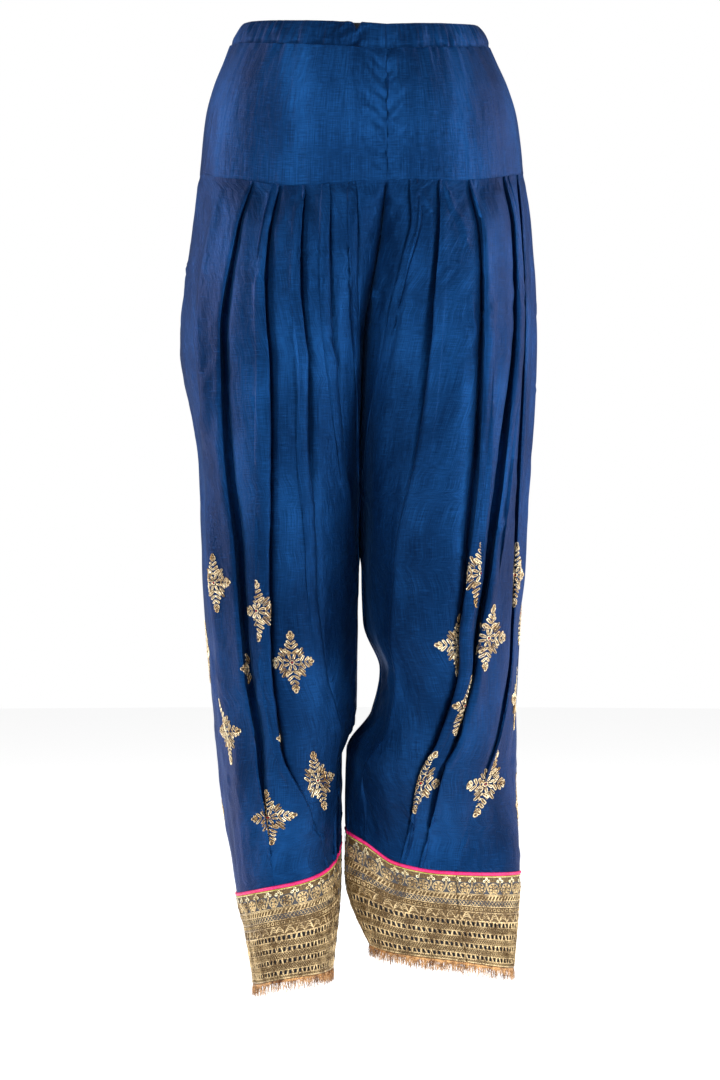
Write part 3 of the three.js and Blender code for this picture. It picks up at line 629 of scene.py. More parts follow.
class LegSurface:
    """Dense outer surface of a leg with its pleats, soft folds and creases."""

    ROWS = 170
    STEP = {"pleat": 1.9, "valley": 1.9, "face": 4.2, "side": 5.6, "seam": 4.2}
    BACK_COARSER = 1.65
    CHANCE_CREASES = 80
    SEAM_FOLD = 2
    CENTRE_REACH = 10.0
    CLOSED_LEVELS = (-542, -522)
    HELD_ABOVE = -610
    # Height, width, lean and length of the swells, then height, lean, width, length and seed.
    WAVES = ((1.5, 26, 0.0, 150), (0.9, 12, 0.004, 80), (0.32, 6, 0.02, 30))
    RUMPLES = ((0.75, 0.8, 10, 30, 3), (0.6, -0.6, 9, 34, 5))

    def __init__(self, form: LegForm) -> None:
        """Work out the surface.

        Args:
            form: Form of the leg.
        """
        self.form = form
        self.sign = form.sign
        self.levels = np.linspace(YOKE_SEAM_LEVEL, HEM_LEVEL, self.ROWS)
        share, height, kinds = form.controls(self.levels)
        gap = np.hypot(np.diff(share, axis=1) * form.GIRTH, np.diff(height, axis=1)).mean(axis=0)
        knots = np.concatenate([[0], np.cumsum(np.maximum(gap, 0.4) ** 0.6)])
        counts = []
        half = len(gap) / 2
        for i, g in enumerate(gap):
            step = min(self.STEP[kinds[i]], self.STEP[kinds[i + 1]])
            if i > half:
                step *= self.BACK_COARSER
            counts.append(int(np.clip(round(g / step), 2, 14)))
        weights = spline_weights(knots, counts)
        place = np.concatenate([[0], np.cumsum(counts)])
        valleys = [place[i] for i, kind in enumerate(kinds) if kind == "valley"]
        self.front_seam = int(valleys[self.SEAM_FOLD])
        self.back_seam = int(valleys[-1 - self.SEAM_FOLD])
        self.shares = share @ weights.T
        self.heights = height @ weights.T
        self.points = self.settle()
        self.normals = self.joined_normals()

    def raw_points(self, heights: Array) -> Array:
        """Points of the leg at given heights over its base.

        Args:
            heights: Height of each point over the base section.

        Returns:
            Points by row and column.
        """
        plan = self.form.plan
        levels = self.levels[:, None]
        base, outward = self.form.base(self.levels, self.shares)
        u = (YOKE_SEAM_LEVEL - levels) / (YOKE_SEAM_LEVEL - HEM_LEVEL)
        share = np.clip(self.shares, 0, 1)
        top = table_at(plan.yoke_seam, share) - YOKE_SEAM_LEVEL
        low = table_at(plan.hem, share) - HEM_LEVEL
        z = levels + top * (1 - u) ** 4 + low * u ** 3
        z[0] -= SEAM_GAP / 2
        z[-1] += SEAM_GAP + PIPING_RADIUS
        x = base[:, :, 0] + outward[:, :, 0] * heights
        y = base[:, :, 1] + outward[:, :, 1] * heights
        x = self.hold_to_centre(x)
        return np.stack([x, y, z], axis=2)

    def hold_to_centre(self, x: Array) -> Array:
        """Keep the leg on its own side of the centre, and closed above the gap between the legs."""
        levels = self.levels[:, None]
        share = np.clip(self.shares, 0, 1)
        centre = np.where(share > 0.5, 0, table_at(CENTRE_LINE, levels))
        limit = centre - self.sign * SEAM_LAP
        closed = smooth_step(*self.CLOSED_LEVELS, self.levels)
        for column, near in ((0, share), (-1, 1 - share)):
            shift = (limit[:, column] - x[:, column]) * closed
            x = x + shift[:, None] * np.exp(-(near * self.form.GIRTH / self.CENTRE_REACH) ** 2)
        held = np.minimum(x, limit) if self.sign < 0 else np.maximum(x, limit)
        return np.where(levels > self.HELD_ABOVE, held, x)

    def settle(self) -> Array:
        """Points with the cloth's own folds and creases added along the normals."""
        points = self.raw_points(self.heights)
        points = points + grid_normals(points, self.sign) * self.creasing()[:, :, None]
        points[:, :, 0] = self.hold_to_centre(points[:, :, 0])
        return points

    def joined_normals(self) -> Array:
        """Normals that agree where the seam edges of the leg, or the two legs, meet."""
        normals = grid_normals(self.points, self.sign)
        closed = self.levels <= CROTCH_LEVEL
        for column in (0, -1):
            normals[~closed, column, 0] = 0
            normals[:, column] = unit(normals[:, column])
        joined = unit(normals[closed, 0] + normals[closed, -1])
        normals[closed, 0] = joined
        normals[closed, -1] = joined
        return normals

    def creasing(self) -> Array:
        """Height of the cloth's creases over the pleated form, by row and column."""
        plan = self.form.plan
        s = self.shares * self.form.GIRTH
        z = np.broadcast_to(self.levels[:, None], s.shape)
        lift = np.zeros_like(s)
        for fold in plan.soft_folds:
            rows = sorted(fold.path, key=lambda row: -row[0])
            depth_axis = [-row[0] for row in rows]
            centre = curve_at(depth_axis, [row[1] * self.form.GIRTH for row in rows], -z)
            depth = curve_at(depth_axis, [row[2] for row in rows], -z)
            width = curve_at(depth_axis, [row[3] for row in rows], -z)
            ends = (smooth_step(depth_axis[0] - 1, depth_axis[0] + 30, -z)
                    * (1 - smooth_step(depth_axis[-1] - 60, depth_axis[-1], -z)))
            lift += ends * depth * np.exp(-((s - centre) / width) ** 2)
        for crease in (*plan.creases, *self.chance_creases(plan.seed)):
            lift += crease.relief(self.form.GIRTH, s, z)
        for i, (height, across, lean, down) in enumerate(self.WAVES):
            lift += height * soft_noise(s / across + lean * z, z / down, plan.seed + i)
        patch = smooth_step(-0.1, 0.9, soft_noise(s / 60, z / 90, plan.seed + 4))
        for height, lean, across, down, extra in self.RUMPLES:
            lift += height * patch * soft_noise(
                (s + lean * z) / across, (s - lean * z) / down, plan.seed + extra)
        edge = np.minimum(self.shares, 1 - self.shares) * self.form.GIRTH
        hold = smooth_step(0, 14, edge)
        hold = hold * smooth_step(0, 12, YOKE_SEAM_LEVEL - z) * smooth_step(0, 10, z - HEM_LEVEL)
        return lift * hold

    def chance_creases(self, seed: int) -> list[Crease]:
        """Short creases from wear, scattered over the whole leg."""
        random = np.random.default_rng(seed)
        made = []
        for _ in range(self.CHANCE_CREASES):
            share = random.uniform(0.02, 0.98)
            level = random.uniform(-820, -170)
            size = random.uniform(16, 60)
            lean = random.normal(0, 0.55)
            made.append(Crease(
                share, level, share + size * math.sin(lean) / self.form.GIRTH,
                level - size * math.cos(lean), random.uniform(0.4, 1.3), random.uniform(1.5, 3.0),
                random.uniform(-4, 4)))
        return made


class MeshMaker:
    """Makes mesh objects from grids of points given in millimetres."""

    @staticmethod
    def build(
        name: str, points: Array, faces: Array, uv: Array | None = None,
        smooth_angle: float = 62.0,
    ) -> Piece:
        """Make an object from points and faces.

        Args:
            name: Name of the object.
            points: Points, in millimetres.
            faces: Quads or triangles as point numbers.
            uv: A place on the cloth for each point, in millimetres.
            smooth_angle: Edges sharper than this stay sharp, in degrees.

        Returns:
            The linked object.
        """
        mesh = bpy.data.meshes.new(name)
        size = faces.shape[1]
        mesh.vertices.add(len(points))
        mesh.vertices.foreach_set("co", (points * MM).astype(np.float32).ravel())
        mesh.loops.add(faces.size)
        mesh.loops.foreach_set("vertex_index", faces.astype(np.int32).ravel())
        mesh.polygons.add(len(faces))
        mesh.polygons.foreach_set("loop_start", np.arange(0, faces.size, size, dtype=np.int32))
        mesh.update(calc_edges=True)
        if uv is not None:
            layer = mesh.uv_layers.new(name="cloth")
            layer.data.foreach_set("uv", (uv[faces.ravel()] / UV_UNIT).astype(np.float32).ravel())
        mesh.validate()
        obj = bpy.data.objects.new(name, mesh)
        bpy.context.scene.collection.objects.link(obj)
        MeshMaker.smooth(obj, smooth_angle)
        return obj

    @staticmethod
    def smooth(obj: Piece, angle: float) -> None:
        """Shade an object smooth, apart from its sharp edges."""
        bpy.ops.object.select_all(action="DESELECT")
        bpy.context.view_layer.objects.active = obj
        obj.select_set(True)
        bpy.ops.object.shade_smooth_by_angle(angle=math.radians(angle))
        obj.select_set(False)

    @staticmethod
    def grid_faces(rows: int, cols: int, wrap: bool = False) -> Array:
        """Quads of a grid, in the order down, then along.

        Args:
            rows: Number of rows.
            cols: Number of columns.
            wrap: Whether the last column joins the first.

        Returns:
            Array of quads.
        """
        r, c = np.meshgrid(np.arange(rows - 1), np.arange(cols if wrap else cols - 1),
                           indexing="ij")
        r = r.ravel()
        c = c.ravel()
        d = (c + 1) % cols
        return np.stack([r * cols + c, (r + 1) * cols + c, (r + 1) * cols + d, r * cols + d],
                        axis=1)

    @staticmethod
    def shell(
        name: str, outer: Array, inner: Array, sign: float, uv: Array,
    ) -> Piece:
        """Make a closed thin shell from an outer and an inner grid.

        Args:
            name: Name of the object.
            outer: Outer points by row and column.
            inner: Inner points by row and column.
            sign: 1 or -1, so that faces point out.
            uv: Place on the cloth of each outer point.

        Returns:
            The linked object.
        """
        rows, cols = outer.shape[:2]
        n = rows * cols
        front = MeshMaker.grid_faces(rows, cols)
        back = n + front[:, ::-1]
        c = np.arange(cols - 1)
        low = (rows - 1) * cols + c
        r = np.arange(rows - 1) * cols
        e = r + cols - 1
        rims = [np.stack([c, c + 1, n + c + 1, n + c], axis=1),
                np.stack([low, n + low, n + low + 1, low + 1], axis=1),
                np.stack([r, n + r, n + r + cols, r + cols], axis=1),
                np.stack([e, e + cols, n + e + cols, n + e], axis=1)]
        faces = np.concatenate([front, back, *rims])
        if sign < 0:
            faces = faces[:, ::-1]
        points = np.concatenate([outer.reshape(-1, 3), inner.reshape(-1, 3)])
        flat = uv.reshape(-1, 2)
        return MeshMaker.build(name, points, faces, np.concatenate([flat, flat]))


class Shader:
    """Small helper that lays out a node material."""

    def __init__(self, name: str) -> None:
        """Start an empty material with a Principled surface."""
        self.material = bpy.data.materials.new(name)
        self.material.use_nodes = True
        self.tree = self.material.node_tree
        self.tree.nodes.clear()
        self.surface = self.tree.nodes.new("ShaderNodeBsdfPrincipled")
        output = self.tree.nodes.new("ShaderNodeOutputMaterial")
        self.tree.links.new(self.surface.outputs[0], output.inputs[0])

    def add(self, kind: str, inputs: dict | None = None, **settings) -> bpy.types.Node:
        """Add a node.

        Args:
            kind: Node type without the ShaderNode prefix.
            inputs: Values or sockets for its inputs.
            **settings: Attributes of the node.

        Returns:
            The node.
        """
        node = self.tree.nodes.new(f"ShaderNode{kind}")
        for key, value in settings.items():
            setattr(node, key, value)
        for key, value in (inputs or {}).items():
            self.feed(node.inputs[key], value)
        return node

    def feed(self, socket: Socket, value: Value) -> None:
        """Link a socket to another, or set its value."""
        if isinstance(value, Socket):
            self.tree.links.new(value, socket)
        else:
            socket.default_value = value

    def set(self, **values) -> None:
        """Set or link inputs of the surface, by their names with _ for a space."""
        for key, value in values.items():
            self.feed(self.surface.inputs[key.replace("_", " ")], value)

    def math(self, operation: str, a: Value, b: Value = 0.5, c: Value = 0.5) -> Socket:
        """Output of a math node on two or three values or sockets."""
        node = self.add("Math", operation=operation)
        for socket, value in zip(node.inputs, (a, b, c)):
            self.feed(socket, value)
        return node.outputs[0]

    def total(self, *parts: tuple) -> Socket:
        """Sum of sockets, each given with its weight."""
        made = None
        for source, weight in parts:
            part = self.math("MULTIPLY", source, weight)
            made = part if made is None else self.math("ADD", made, part)
        return made

    def mix(self, factor: Value, a: Value, b: Value) -> Socket:
        """Output of a colour mix."""
        node = self.add("Mix", data_type="RGBA")
        self.feed(node.inputs[0], factor)
        self.feed(node.inputs[6], a)
        self.feed(node.inputs[7], b)
        return node.outputs[2]

    def ramp(self, factor: Value, stops: tuple[tuple[float, tuple], ...]) -> Socket:
        """Output of a colour ramp with stops of place and colour."""
        node = self.add("ValToRGB")
        self.feed(node.inputs[0], factor)
        ramp = node.color_ramp
        for i, (place, colour) in enumerate(stops):
            stop = ramp.elements[i] if i < 2 else ramp.elements.new(place)
            stop.position = place
            stop.color = colour
        return node.outputs[0]

    def scaled(self, source: Socket, scale: tuple) -> Socket:
        """Coordinates stretched by a Mapping node."""
        node = self.add("Mapping", {"Vector": source, "Scale": scale})
        return node.outputs[0]

    def noise(self, source: Socket, scale: float, detail: float = 2.0,
              rough: float = 0.5) -> Socket:
        """Factor of a noise texture."""
        node = self.add("TexNoise", {
            "Vector": source, "Scale": scale, "Detail": detail, "Roughness": rough})
        return node.outputs[0]

    def bump(self, height: Socket, strength: float, distance: float,
             under: Socket | None = None) -> Socket:
        """Normal of a bump node over another normal."""
        node = self.add("Bump", {"Height": height, "Strength": strength, "Distance": distance})
        if under is not None:
            self.feed(node.inputs["Normal"], under)
        return node.outputs[0]


def rgb(red: float, green: float, blue: float) -> tuple[float, float, float, float]:
    """Linear colour from screen values of 0 to 255."""
    def linear(value: float) -> float:
        """Linear value of one screen value."""
        value /= 255
        return value / 12.92 if value <= 0.04045 else ((value + 0.055) / 1.055) ** 2.4
    return (linear(red), linear(green), linear(blue), 1.0)


@dataclass(frozen=True)
class SilkFinish:
    """Blue slub silk: uneven weft threads, a soft satin gloss and a light sheen."""

    name: str = "blue_slub_silk"
    deep: tuple = rgb(3, 22, 52)
    middle: tuple = rgb(8, 39, 78)
    light: tuple = rgb(20, 66, 120)
    gloss_tint: tuple = rgb(66, 146, 238)
    roughness: float = 0.37
    gloss: float = 0.4
    metal: float = 0.45
    sheen: float = 0.08
    sheen_tint: tuple = rgb(100, 160, 235)

    def make(self) -> bpy.types.Material:
        """Build the material on the cloth's own UV, in units of 100 mm."""
        sh = Shader(self.name)
        uv = sh.add("UVMap", uv_map="cloth").outputs[0]
        weft = sh.noise(sh.scaled(uv, (7.0, 210.0, 1.0)), 1.0, 3.0, 0.6)
        warp = sh.noise(sh.scaled(uv, (190.0, 3.0, 1.0)), 1.0, 2.0, 0.5)
        slub = sh.noise(sh.scaled(uv, (9.0, 62.0, 1.0)), 1.0, 1.0, 0.4)
        drift = sh.noise(sh.scaled(uv, (1.6, 0.8, 1.0)), 1.0, 2.0, 0.5)
        knots = sh.math("MULTIPLY", sh.math("SUBTRACT", slub, 0.6), 6.0)
        knots = sh.math("MAXIMUM", sh.math("SMOOTH_MIN", knots, 1.0, 0.2), 0.0)
        tone = sh.total((weft, 0.34), (warp, 0.26), (drift, 0.4))
        colour = sh.ramp(tone, ((0.4, self.deep), (0.5, self.middle), (0.62, self.light)))
        colour = sh.mix(sh.math("MULTIPLY", knots, 0.35), colour, self.light)
        weave_u = sh.add("TexWave", {"Vector": sh.scaled(uv, (1.0, 0.02, 1.0)), "Scale": 55.0,
                                     "Distortion": 1.0}, wave_type="BANDS", bands_direction="X")
        weave_v = sh.add("TexWave", {"Vector": sh.scaled(uv, (0.02, 1.0, 1.0)), "Scale": 48.0,
                                     "Distortion": 1.4}, wave_type="BANDS", bands_direction="Y")
        weave = sh.math("MULTIPLY", weave_u.outputs[1], weave_v.outputs[1])
        height = sh.total((weave, 0.35), (weft, 0.7), (knots, 0.6), (warp, 0.4))
        crumple = sh.noise(sh.scaled(uv, (11.0, 4.0, 1.0)), 1.0, 4.0, 0.6)
        normal = sh.bump(crumple, 0.42, 0.004)
        normal = sh.bump(height, 0.4, 0.0005, normal)
        rough = sh.math("ADD", self.roughness - 0.06, sh.math("MULTIPLY", weft, 0.14))
        sh.set(Base_Color=colour, Roughness=rough, Normal=normal)
        sh.surface.inputs["Specular IOR Level"].default_value = self.gloss
        sh.surface.inputs["Specular Tint"].default_value = self.gloss_tint
        sh.surface.inputs["Sheen Weight"].default_value = self.sheen
        sh.surface.inputs["Sheen Roughness"].default_value = 0.4
        sh.surface.inputs["Sheen Tint"].default_value = self.sheen_tint
        sh.surface.inputs["Metallic"].default_value = self.metal
        sh.surface.inputs["Anisotropic"].default_value = 0.35
        return sh.material


@dataclass(frozen=True)
class ThreadFinish:
    """Metallic or dyed thread with a fine twist; the same material also gives painted shade: near-black
    in the casing slit, and a net darkened with shade in the lace slits.
    """

    name: str
    deep: tuple
    light: tuple
    metallic: float = 0.0
    roughness: float = 0.45
    grain: float = 900.0

    def make(self) -> bpy.types.Material:
        """Build the material on Object coordinates."""
        sh = Shader(self.name)
        place = sh.add("TexCoord").outputs["Object"]
        grain = sh.noise(place, self.grain, 3.0, 0.6)
        patch = sh.noise(place, self.grain / 12, 2.0, 0.5)
        tone = sh.total((grain, 0.6), (patch, 0.4))
        colour = sh.ramp(tone, ((0.42, self.deep), (0.57, self.light)))
        normal = sh.bump(grain, 0.6, 0.0004)
        sh.set(Base_Color=colour, Normal=normal)
        sh.surface.inputs["Metallic"].default_value = self.metallic
        sh.surface.inputs["Roughness"].default_value = self.roughness
        return sh.material


@dataclass(frozen=True)
class LaceGroundFinish:
    """Ground of the lace: dense beige-gold weave with bands of blue-grey net."""

    name: str = "gold_lace_ground"
    deep: tuple = rgb(48, 34, 16)
    light: tuple = rgb(132, 104, 62)
    net: tuple = rgb(62, 70, 82)
    net_drops: tuple = ((6.2, 17.8), (24.4, 29.6))

    def make(self) -> bpy.types.Material:
        """Build the material on the band's own UV."""
        sh = Shader(self.name)
        uv = sh.add("UVMap", uv_map="cloth").outputs[0]
        grain = sh.noise(sh.scaled(uv, (70.0, 70.0, 1.0)), 1.0, 3.0, 0.6)
        ply = sh.noise(sh.scaled(uv, (120.0, 20.0, 1.0)), 1.0, 2.0, 0.5)
        tone = sh.total((grain, 0.6), (ply, 0.4))
        colour = sh.ramp(tone, ((0.38, self.deep), (0.62, self.light)))
        drop = sh.math("MULTIPLY", sh.add("SeparateXYZ", {"Vector": uv}).outputs[1], -UV_UNIT)
        bands = None
        for low, high in self.net_drops:
            band = sh.math("MULTIPLY", sh.math("GREATER_THAN", drop, low),
                           sh.math("LESS_THAN", drop, high))
            bands = band if bands is None else sh.math("ADD", bands, band)
        colour = sh.mix(sh.math("MULTIPLY", bands, 0.85), colour, self.net)
        normal = sh.bump(tone, 0.6, 0.0006)
        sh.set(Base_Color=colour, Normal=normal)
        sh.surface.inputs["Metallic"].default_value = 0.25
        sh.surface.inputs["Roughness"].default_value = 0.5
        return sh.material


def dress(obj: Piece, material: bpy.types.Material, slot: Slot, *nodes: str) -> None:
    """Give a piece its material and body, and hide the nodes that it replaces."""
    obj.data.materials.append(material)
    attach(obj, BODY)
    if nodes:
        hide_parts(*nodes)


@dataclass
class LegPanels:
    """Side panel and kunda gores of one leg."""

    surface: LegSurface
    silk: bpy.types.Material
    thickness: float = CLOTH_THICKNESS

    def panel(self, name: str, first: int, last: int, cut: Cut) -> Piece:
        """One panel between two columns of the leg.

        Args:
            name: Node that the panel replaces.
            first: First column.
            last: Last column.
            cut: Flat piece that the panel is sewn from.

        Returns:
            The panel.
        """
        points = self.surface.points[:, first:last + 1].copy()
        normals = self.surface.normals[:, first:last + 1]
        for edge, inward in ((0, 1), (-1, -2)):
            shift = points[:, inward] - points[:, edge]
            shift[:, 2] = 0
            points[:, edge] += unit(shift) * SEAM_GAP / 2
        start = self.surface.shares[:, first].mean() * self.surface.form.GIRTH
        across = arc_length(points) + start
        down = np.broadcast_to(self.surface.levels[:, None], across.shape)
        uv = np.stack([across, down], axis=2)
        obj = MeshMaker.shell(name + "_silk", points, points - normals * self.thickness,
                              self.surface.sign, uv)
        dress(obj, self.silk, Slot.SILK, name)
        cut.declare(obj)
        return obj

    def build(self) -> list[Piece]:
        """Make the three panels."""
        s = self.surface
        plan = s.form.plan
        side = plan.side.label
        last = s.points.shape[1] - 1
        return [
            self.panel(f"kunda_front_{side}", 0, s.front_seam, plan.kunda_cut),
            self.panel(f"side_panel_{side}", s.front_seam, s.back_seam, plan.side_cut),
            self.panel(f"kunda_back_{side}", s.back_seam, last, plan.kunda_cut),
        ]


@dataclass
class Waist:
    """Ellipse of the waist and the casing's section, in millimetres."""

    seam_half_x: float = 129.0
    seam_half_y: float = 97.0
    top_half_x: float = 117.0
    top_half_y: float = 88.0
    slit_x: float = -3.0
    slit_depth: float = 7.5
    slit_half: float = 4.2

    def point(self, sign: int, share: Array, half_x: float, half_y: float) -> Array:
        """Points of one half of an ellipse from the front seam to the back.

        Args:
            sign: Side, -1 or 1.
            share: Share of the way round the half.
            half_x: Half width of the ellipse.
            half_y: Half depth of the ellipse.

        Returns:
            Points in plan.
        """
        start = math.asin(FRONT_SEAM_X / half_x) * sign
        angle = np.linspace(start, math.pi, 121)
        outline = np.stack([sign * np.sin(angle) * half_x, -np.cos(angle) * half_y], axis=1)
        known = arc_length(outline)
        return along_line(share, known / known[-1], outline)


@dataclass
class Yoke:
    """One half of the yoke, from the casing to the yoke seam."""

    surface: LegSurface
    waist: Waist
    silk: bpy.types.Material
    rows: int = 56
    columns: int = 190
    girth: float = 440.0
    depth: float = 130.0
    thickness: float = CLOTH_THICKNESS
    allowance: float = 5.0

    def relief(self, s: Array, drop: Array) -> Array:
        """Gathers under the casing, a soft swell, pulls at the lower seam and creases.

        Args:
            s: Places across from the front seam.
            drop: Drops under the casing.

        Returns:
            Height over the smooth yoke.
        """
        plan = self.surface.form.plan
        seed = plan.seed + 40
        lift = np.exp(-drop / 20.0) * (1.3 * soft_noise(s / 5.5, drop / 40, seed)
                                       + 0.6 * soft_noise(s / 2.6, drop / 20, seed + 1))
        lift = lift + 0.9 * soft_noise(s / 34, drop / 80, seed + 2)
        lift += 0.3 * soft_noise(s / 9, drop / 60, seed + 3)
        pulls = np.exp(-((self.depth - drop) / 12.0) ** 2)
        lift += 0.8 * pulls * soft_noise(s / 16, drop / 30, seed + 4)
        puckers = np.exp(-(s / 19.0) ** 2)
        lift += 2.4 * puckers * soft_noise((drop + 1.1 * s) / 6.5, (s - drop) / 22, seed + 5)
        lift -= 0.9 * np.exp(-((s - 0.2) / 1.6) ** 2)
        for crease in plan.yoke_creases:
            lift += crease.relief(self.girth, s, -drop)
        return lift

    def build(self) -> Piece:
        """Make the half yoke."""
        form = self.surface.form
        sign = form.sign
        share = np.linspace(0, 1, self.columns)[None, :].repeat(self.rows, axis=0)
        t = np.linspace(0, 1, self.rows)[:, None]
        top = self.waist.point(sign, share[0], self.waist.seam_half_x, self.waist.seam_half_y)
        low, outward = form.base(np.array([YOKE_SEAM_LEVEL]), share[:1])
        plan = top[None] + (low - top[None]) * table_at(YOKE_SPREAD, t)[:, :, None]
        z = table_at(CASING_SEAM, share) * (1 - t) + table_at(form.plan.yoke_seam, share) * t
        z[0] -= SEAM_GAP / 2
        z[-1] += SEAM_GAP / 2
        s = share * self.girth
        drop = t * self.depth
        plan = plan + outward * self.relief(s, drop)[:, :, None]
        plan[:, 0, 0] = FRONT_SEAM_X - sign * SEAM_LAP
        plan[:, -1, 0] = -sign * SEAM_LAP
        points = np.concatenate([plan, z[:, :, None]], axis=2)
        normals = grid_normals(points, sign)
        normals[:, (0, -1), 0] = 0
        inner = points - normals * self.thickness
        inner[-1] -= 2.0 * normals[-1] + [0, 0, self.allowance]
        uv = np.stack(np.broadcast_arrays(s, -drop), axis=2)
        name = f"yoke_{form.plan.side.label}"
        obj = MeshMaker.shell(name + "_silk", points, inner, sign, uv)
        dress(obj, self.silk, Slot.SILK, name)
        form.plan.yoke_cut.declare(obj)
        return obj


@dataclass
class Casing:
    """Gathered drawstring casing: a flat tube of cloth round the waist with a slit at the front."""

    waist: Waist
    silk: bpy.types.Material
    # Near-black painted shade for the inner layer seen through the front slit.
    dark: bpy.types.Material
    columns: int = 520
    half_girth: float = 352.0
    height: float = 25.0
    wall: float = 4.5
    pinch_reach: float = 17.0
    join_length: float = 24.0
    outer_rows: int = 10
    cut: Cut = Cut(0.74, 0.027, 0.0198)
    profile: Pairs = (
        (0.0, 0.0), (0.07, 0.15), (0.2, 0.7), (0.32, 0.95), (0.44, 1.1), (0.56, 1.15), (0.68, 1.05),
        (0.8, 0.8), (0.9, 0.3), (0.96, -0.4), (1.0, -1.5), (0.96, -2.6), (0.8, -3.0), (0.5, -3.0),
        (0.2, -3.0), (0.0, -3.0),
    )

    def build(self) -> Piece:
        """Make the casing as one closed ring with a rounded top fold."""
        w = self.waist
        half = self.columns // 2
        rise = np.arange(half) / half
        share = np.concatenate([rise, 1 - rise])

        def ring(half_x: float, half_y: float) -> Array:
            """Points of the whole ellipse, from the front seam by the wearer's left."""
            return np.concatenate([w.point(1, rise, half_x, half_y),
                                   w.point(-1, 1 - rise, half_x, half_y)])

        top_ring = ring(w.top_half_x, w.top_half_y)
        seam_ring = ring(w.seam_half_x, w.seam_half_y)
        front = top_ring[:, 1] < 0
        s = np.concatenate([rise, 1 + rise]) * self.half_girth
        total = 2 * self.half_girth
        join = smooth_step(total - self.join_length, total, s)

        def gathers(pitch: float, down: float, seed: int, slant: float = 0.0) -> Array:
            """Noise round the ring that meets itself at the front seam."""
            v = np.full_like(s, down)
            return (soft_noise((s + slant) / pitch, v, seed) * (1 - join)
                    + soft_noise((s - total + slant) / pitch, v, seed) * join)

        normal = unit(top_ring / np.array([w.top_half_x, w.top_half_y]) ** 2)
        from_slit = top_ring[:, 0] - w.slit_x
        notch = np.clip(1 - np.abs(from_slit) / w.slit_half, 0, 1) * front
        whole = table_at(CASING_TOP, share)
        top = whole - notch * w.slit_depth
        seam = table_at(CASING_SEAM, share) + SEAM_GAP / 2
        stitches = 1.0 + 0.5 * np.sin(s * 2.4)
        pinch = np.exp(-(from_slit / self.pinch_reach) ** 2) * front
        rows = []
        for k, (height, depth) in enumerate(self.profile):
            drop = (1 - height) * self.height
            ease = math.sin(math.pi * min(1.0, height * 1.02)) ** 0.6 if k < self.outer_rows else 0.3
            gather = 1.2 * gathers(4.6, drop / 26, 71) + 0.75 * gathers(2.3, drop / 9, 72)
            swell = 0.8 * gathers(17.0, drop / 40, 73)
            radial = 3.0 * gathers(4.6, drop / 11, 74, 0.9 * drop)
            if k >= self.outer_rows:
                radial = radial - self.wall
            out = depth + (ease + 0.25) * (gather + swell) + pinch * (radial - 1.2)
            if k == 1:
                out = out - 0.5 * stitches
            plan = seam_ring + (top_ring - seam_ring) * height + normal * out[:, None]
            reach = top if k < self.outer_rows else whole - 1.0
            level = seam + (reach - seam) * height
            rows.append(np.column_stack([plan, level]))
        grid = np.array(rows)
        faces = MeshMaker.grid_faces(len(rows) + 1, self.columns, True)
        faces = faces % (len(rows) * self.columns)
        down = np.cumsum([0.0, *[2.4] * (len(rows) - 1)])
        uv = np.stack(np.broadcast_arrays(s[None, :], -down[:, None]), axis=2)
        obj = MeshMaker.build("waist_casing_silk", grid.reshape(-1, 3), faces[:, ::-1],
                              uv.reshape(-1, 2))
        dress(obj, self.silk, Slot.SILK, "waist_casing")
        # The inner layer's faces behind the front slit get the near-black material as painted shade.
        obj.data.materials.append(self.dark)
        painted_shade_faces = np.zeros((len(rows), self.columns), np.int32)
        painted_shade_faces[self.outer_rows - 1:, notch > 0] = 1
        obj.data.polygons.foreach_set("material_index", painted_shade_faces.ravel())
        self.cut.declare(obj)
        return obj


@dataclass(frozen=True)
class Master:
    """One small shape, modelled once: points in millimetres, triangles, and a look for each."""

    points: Array
    faces: Array
    looks: Array


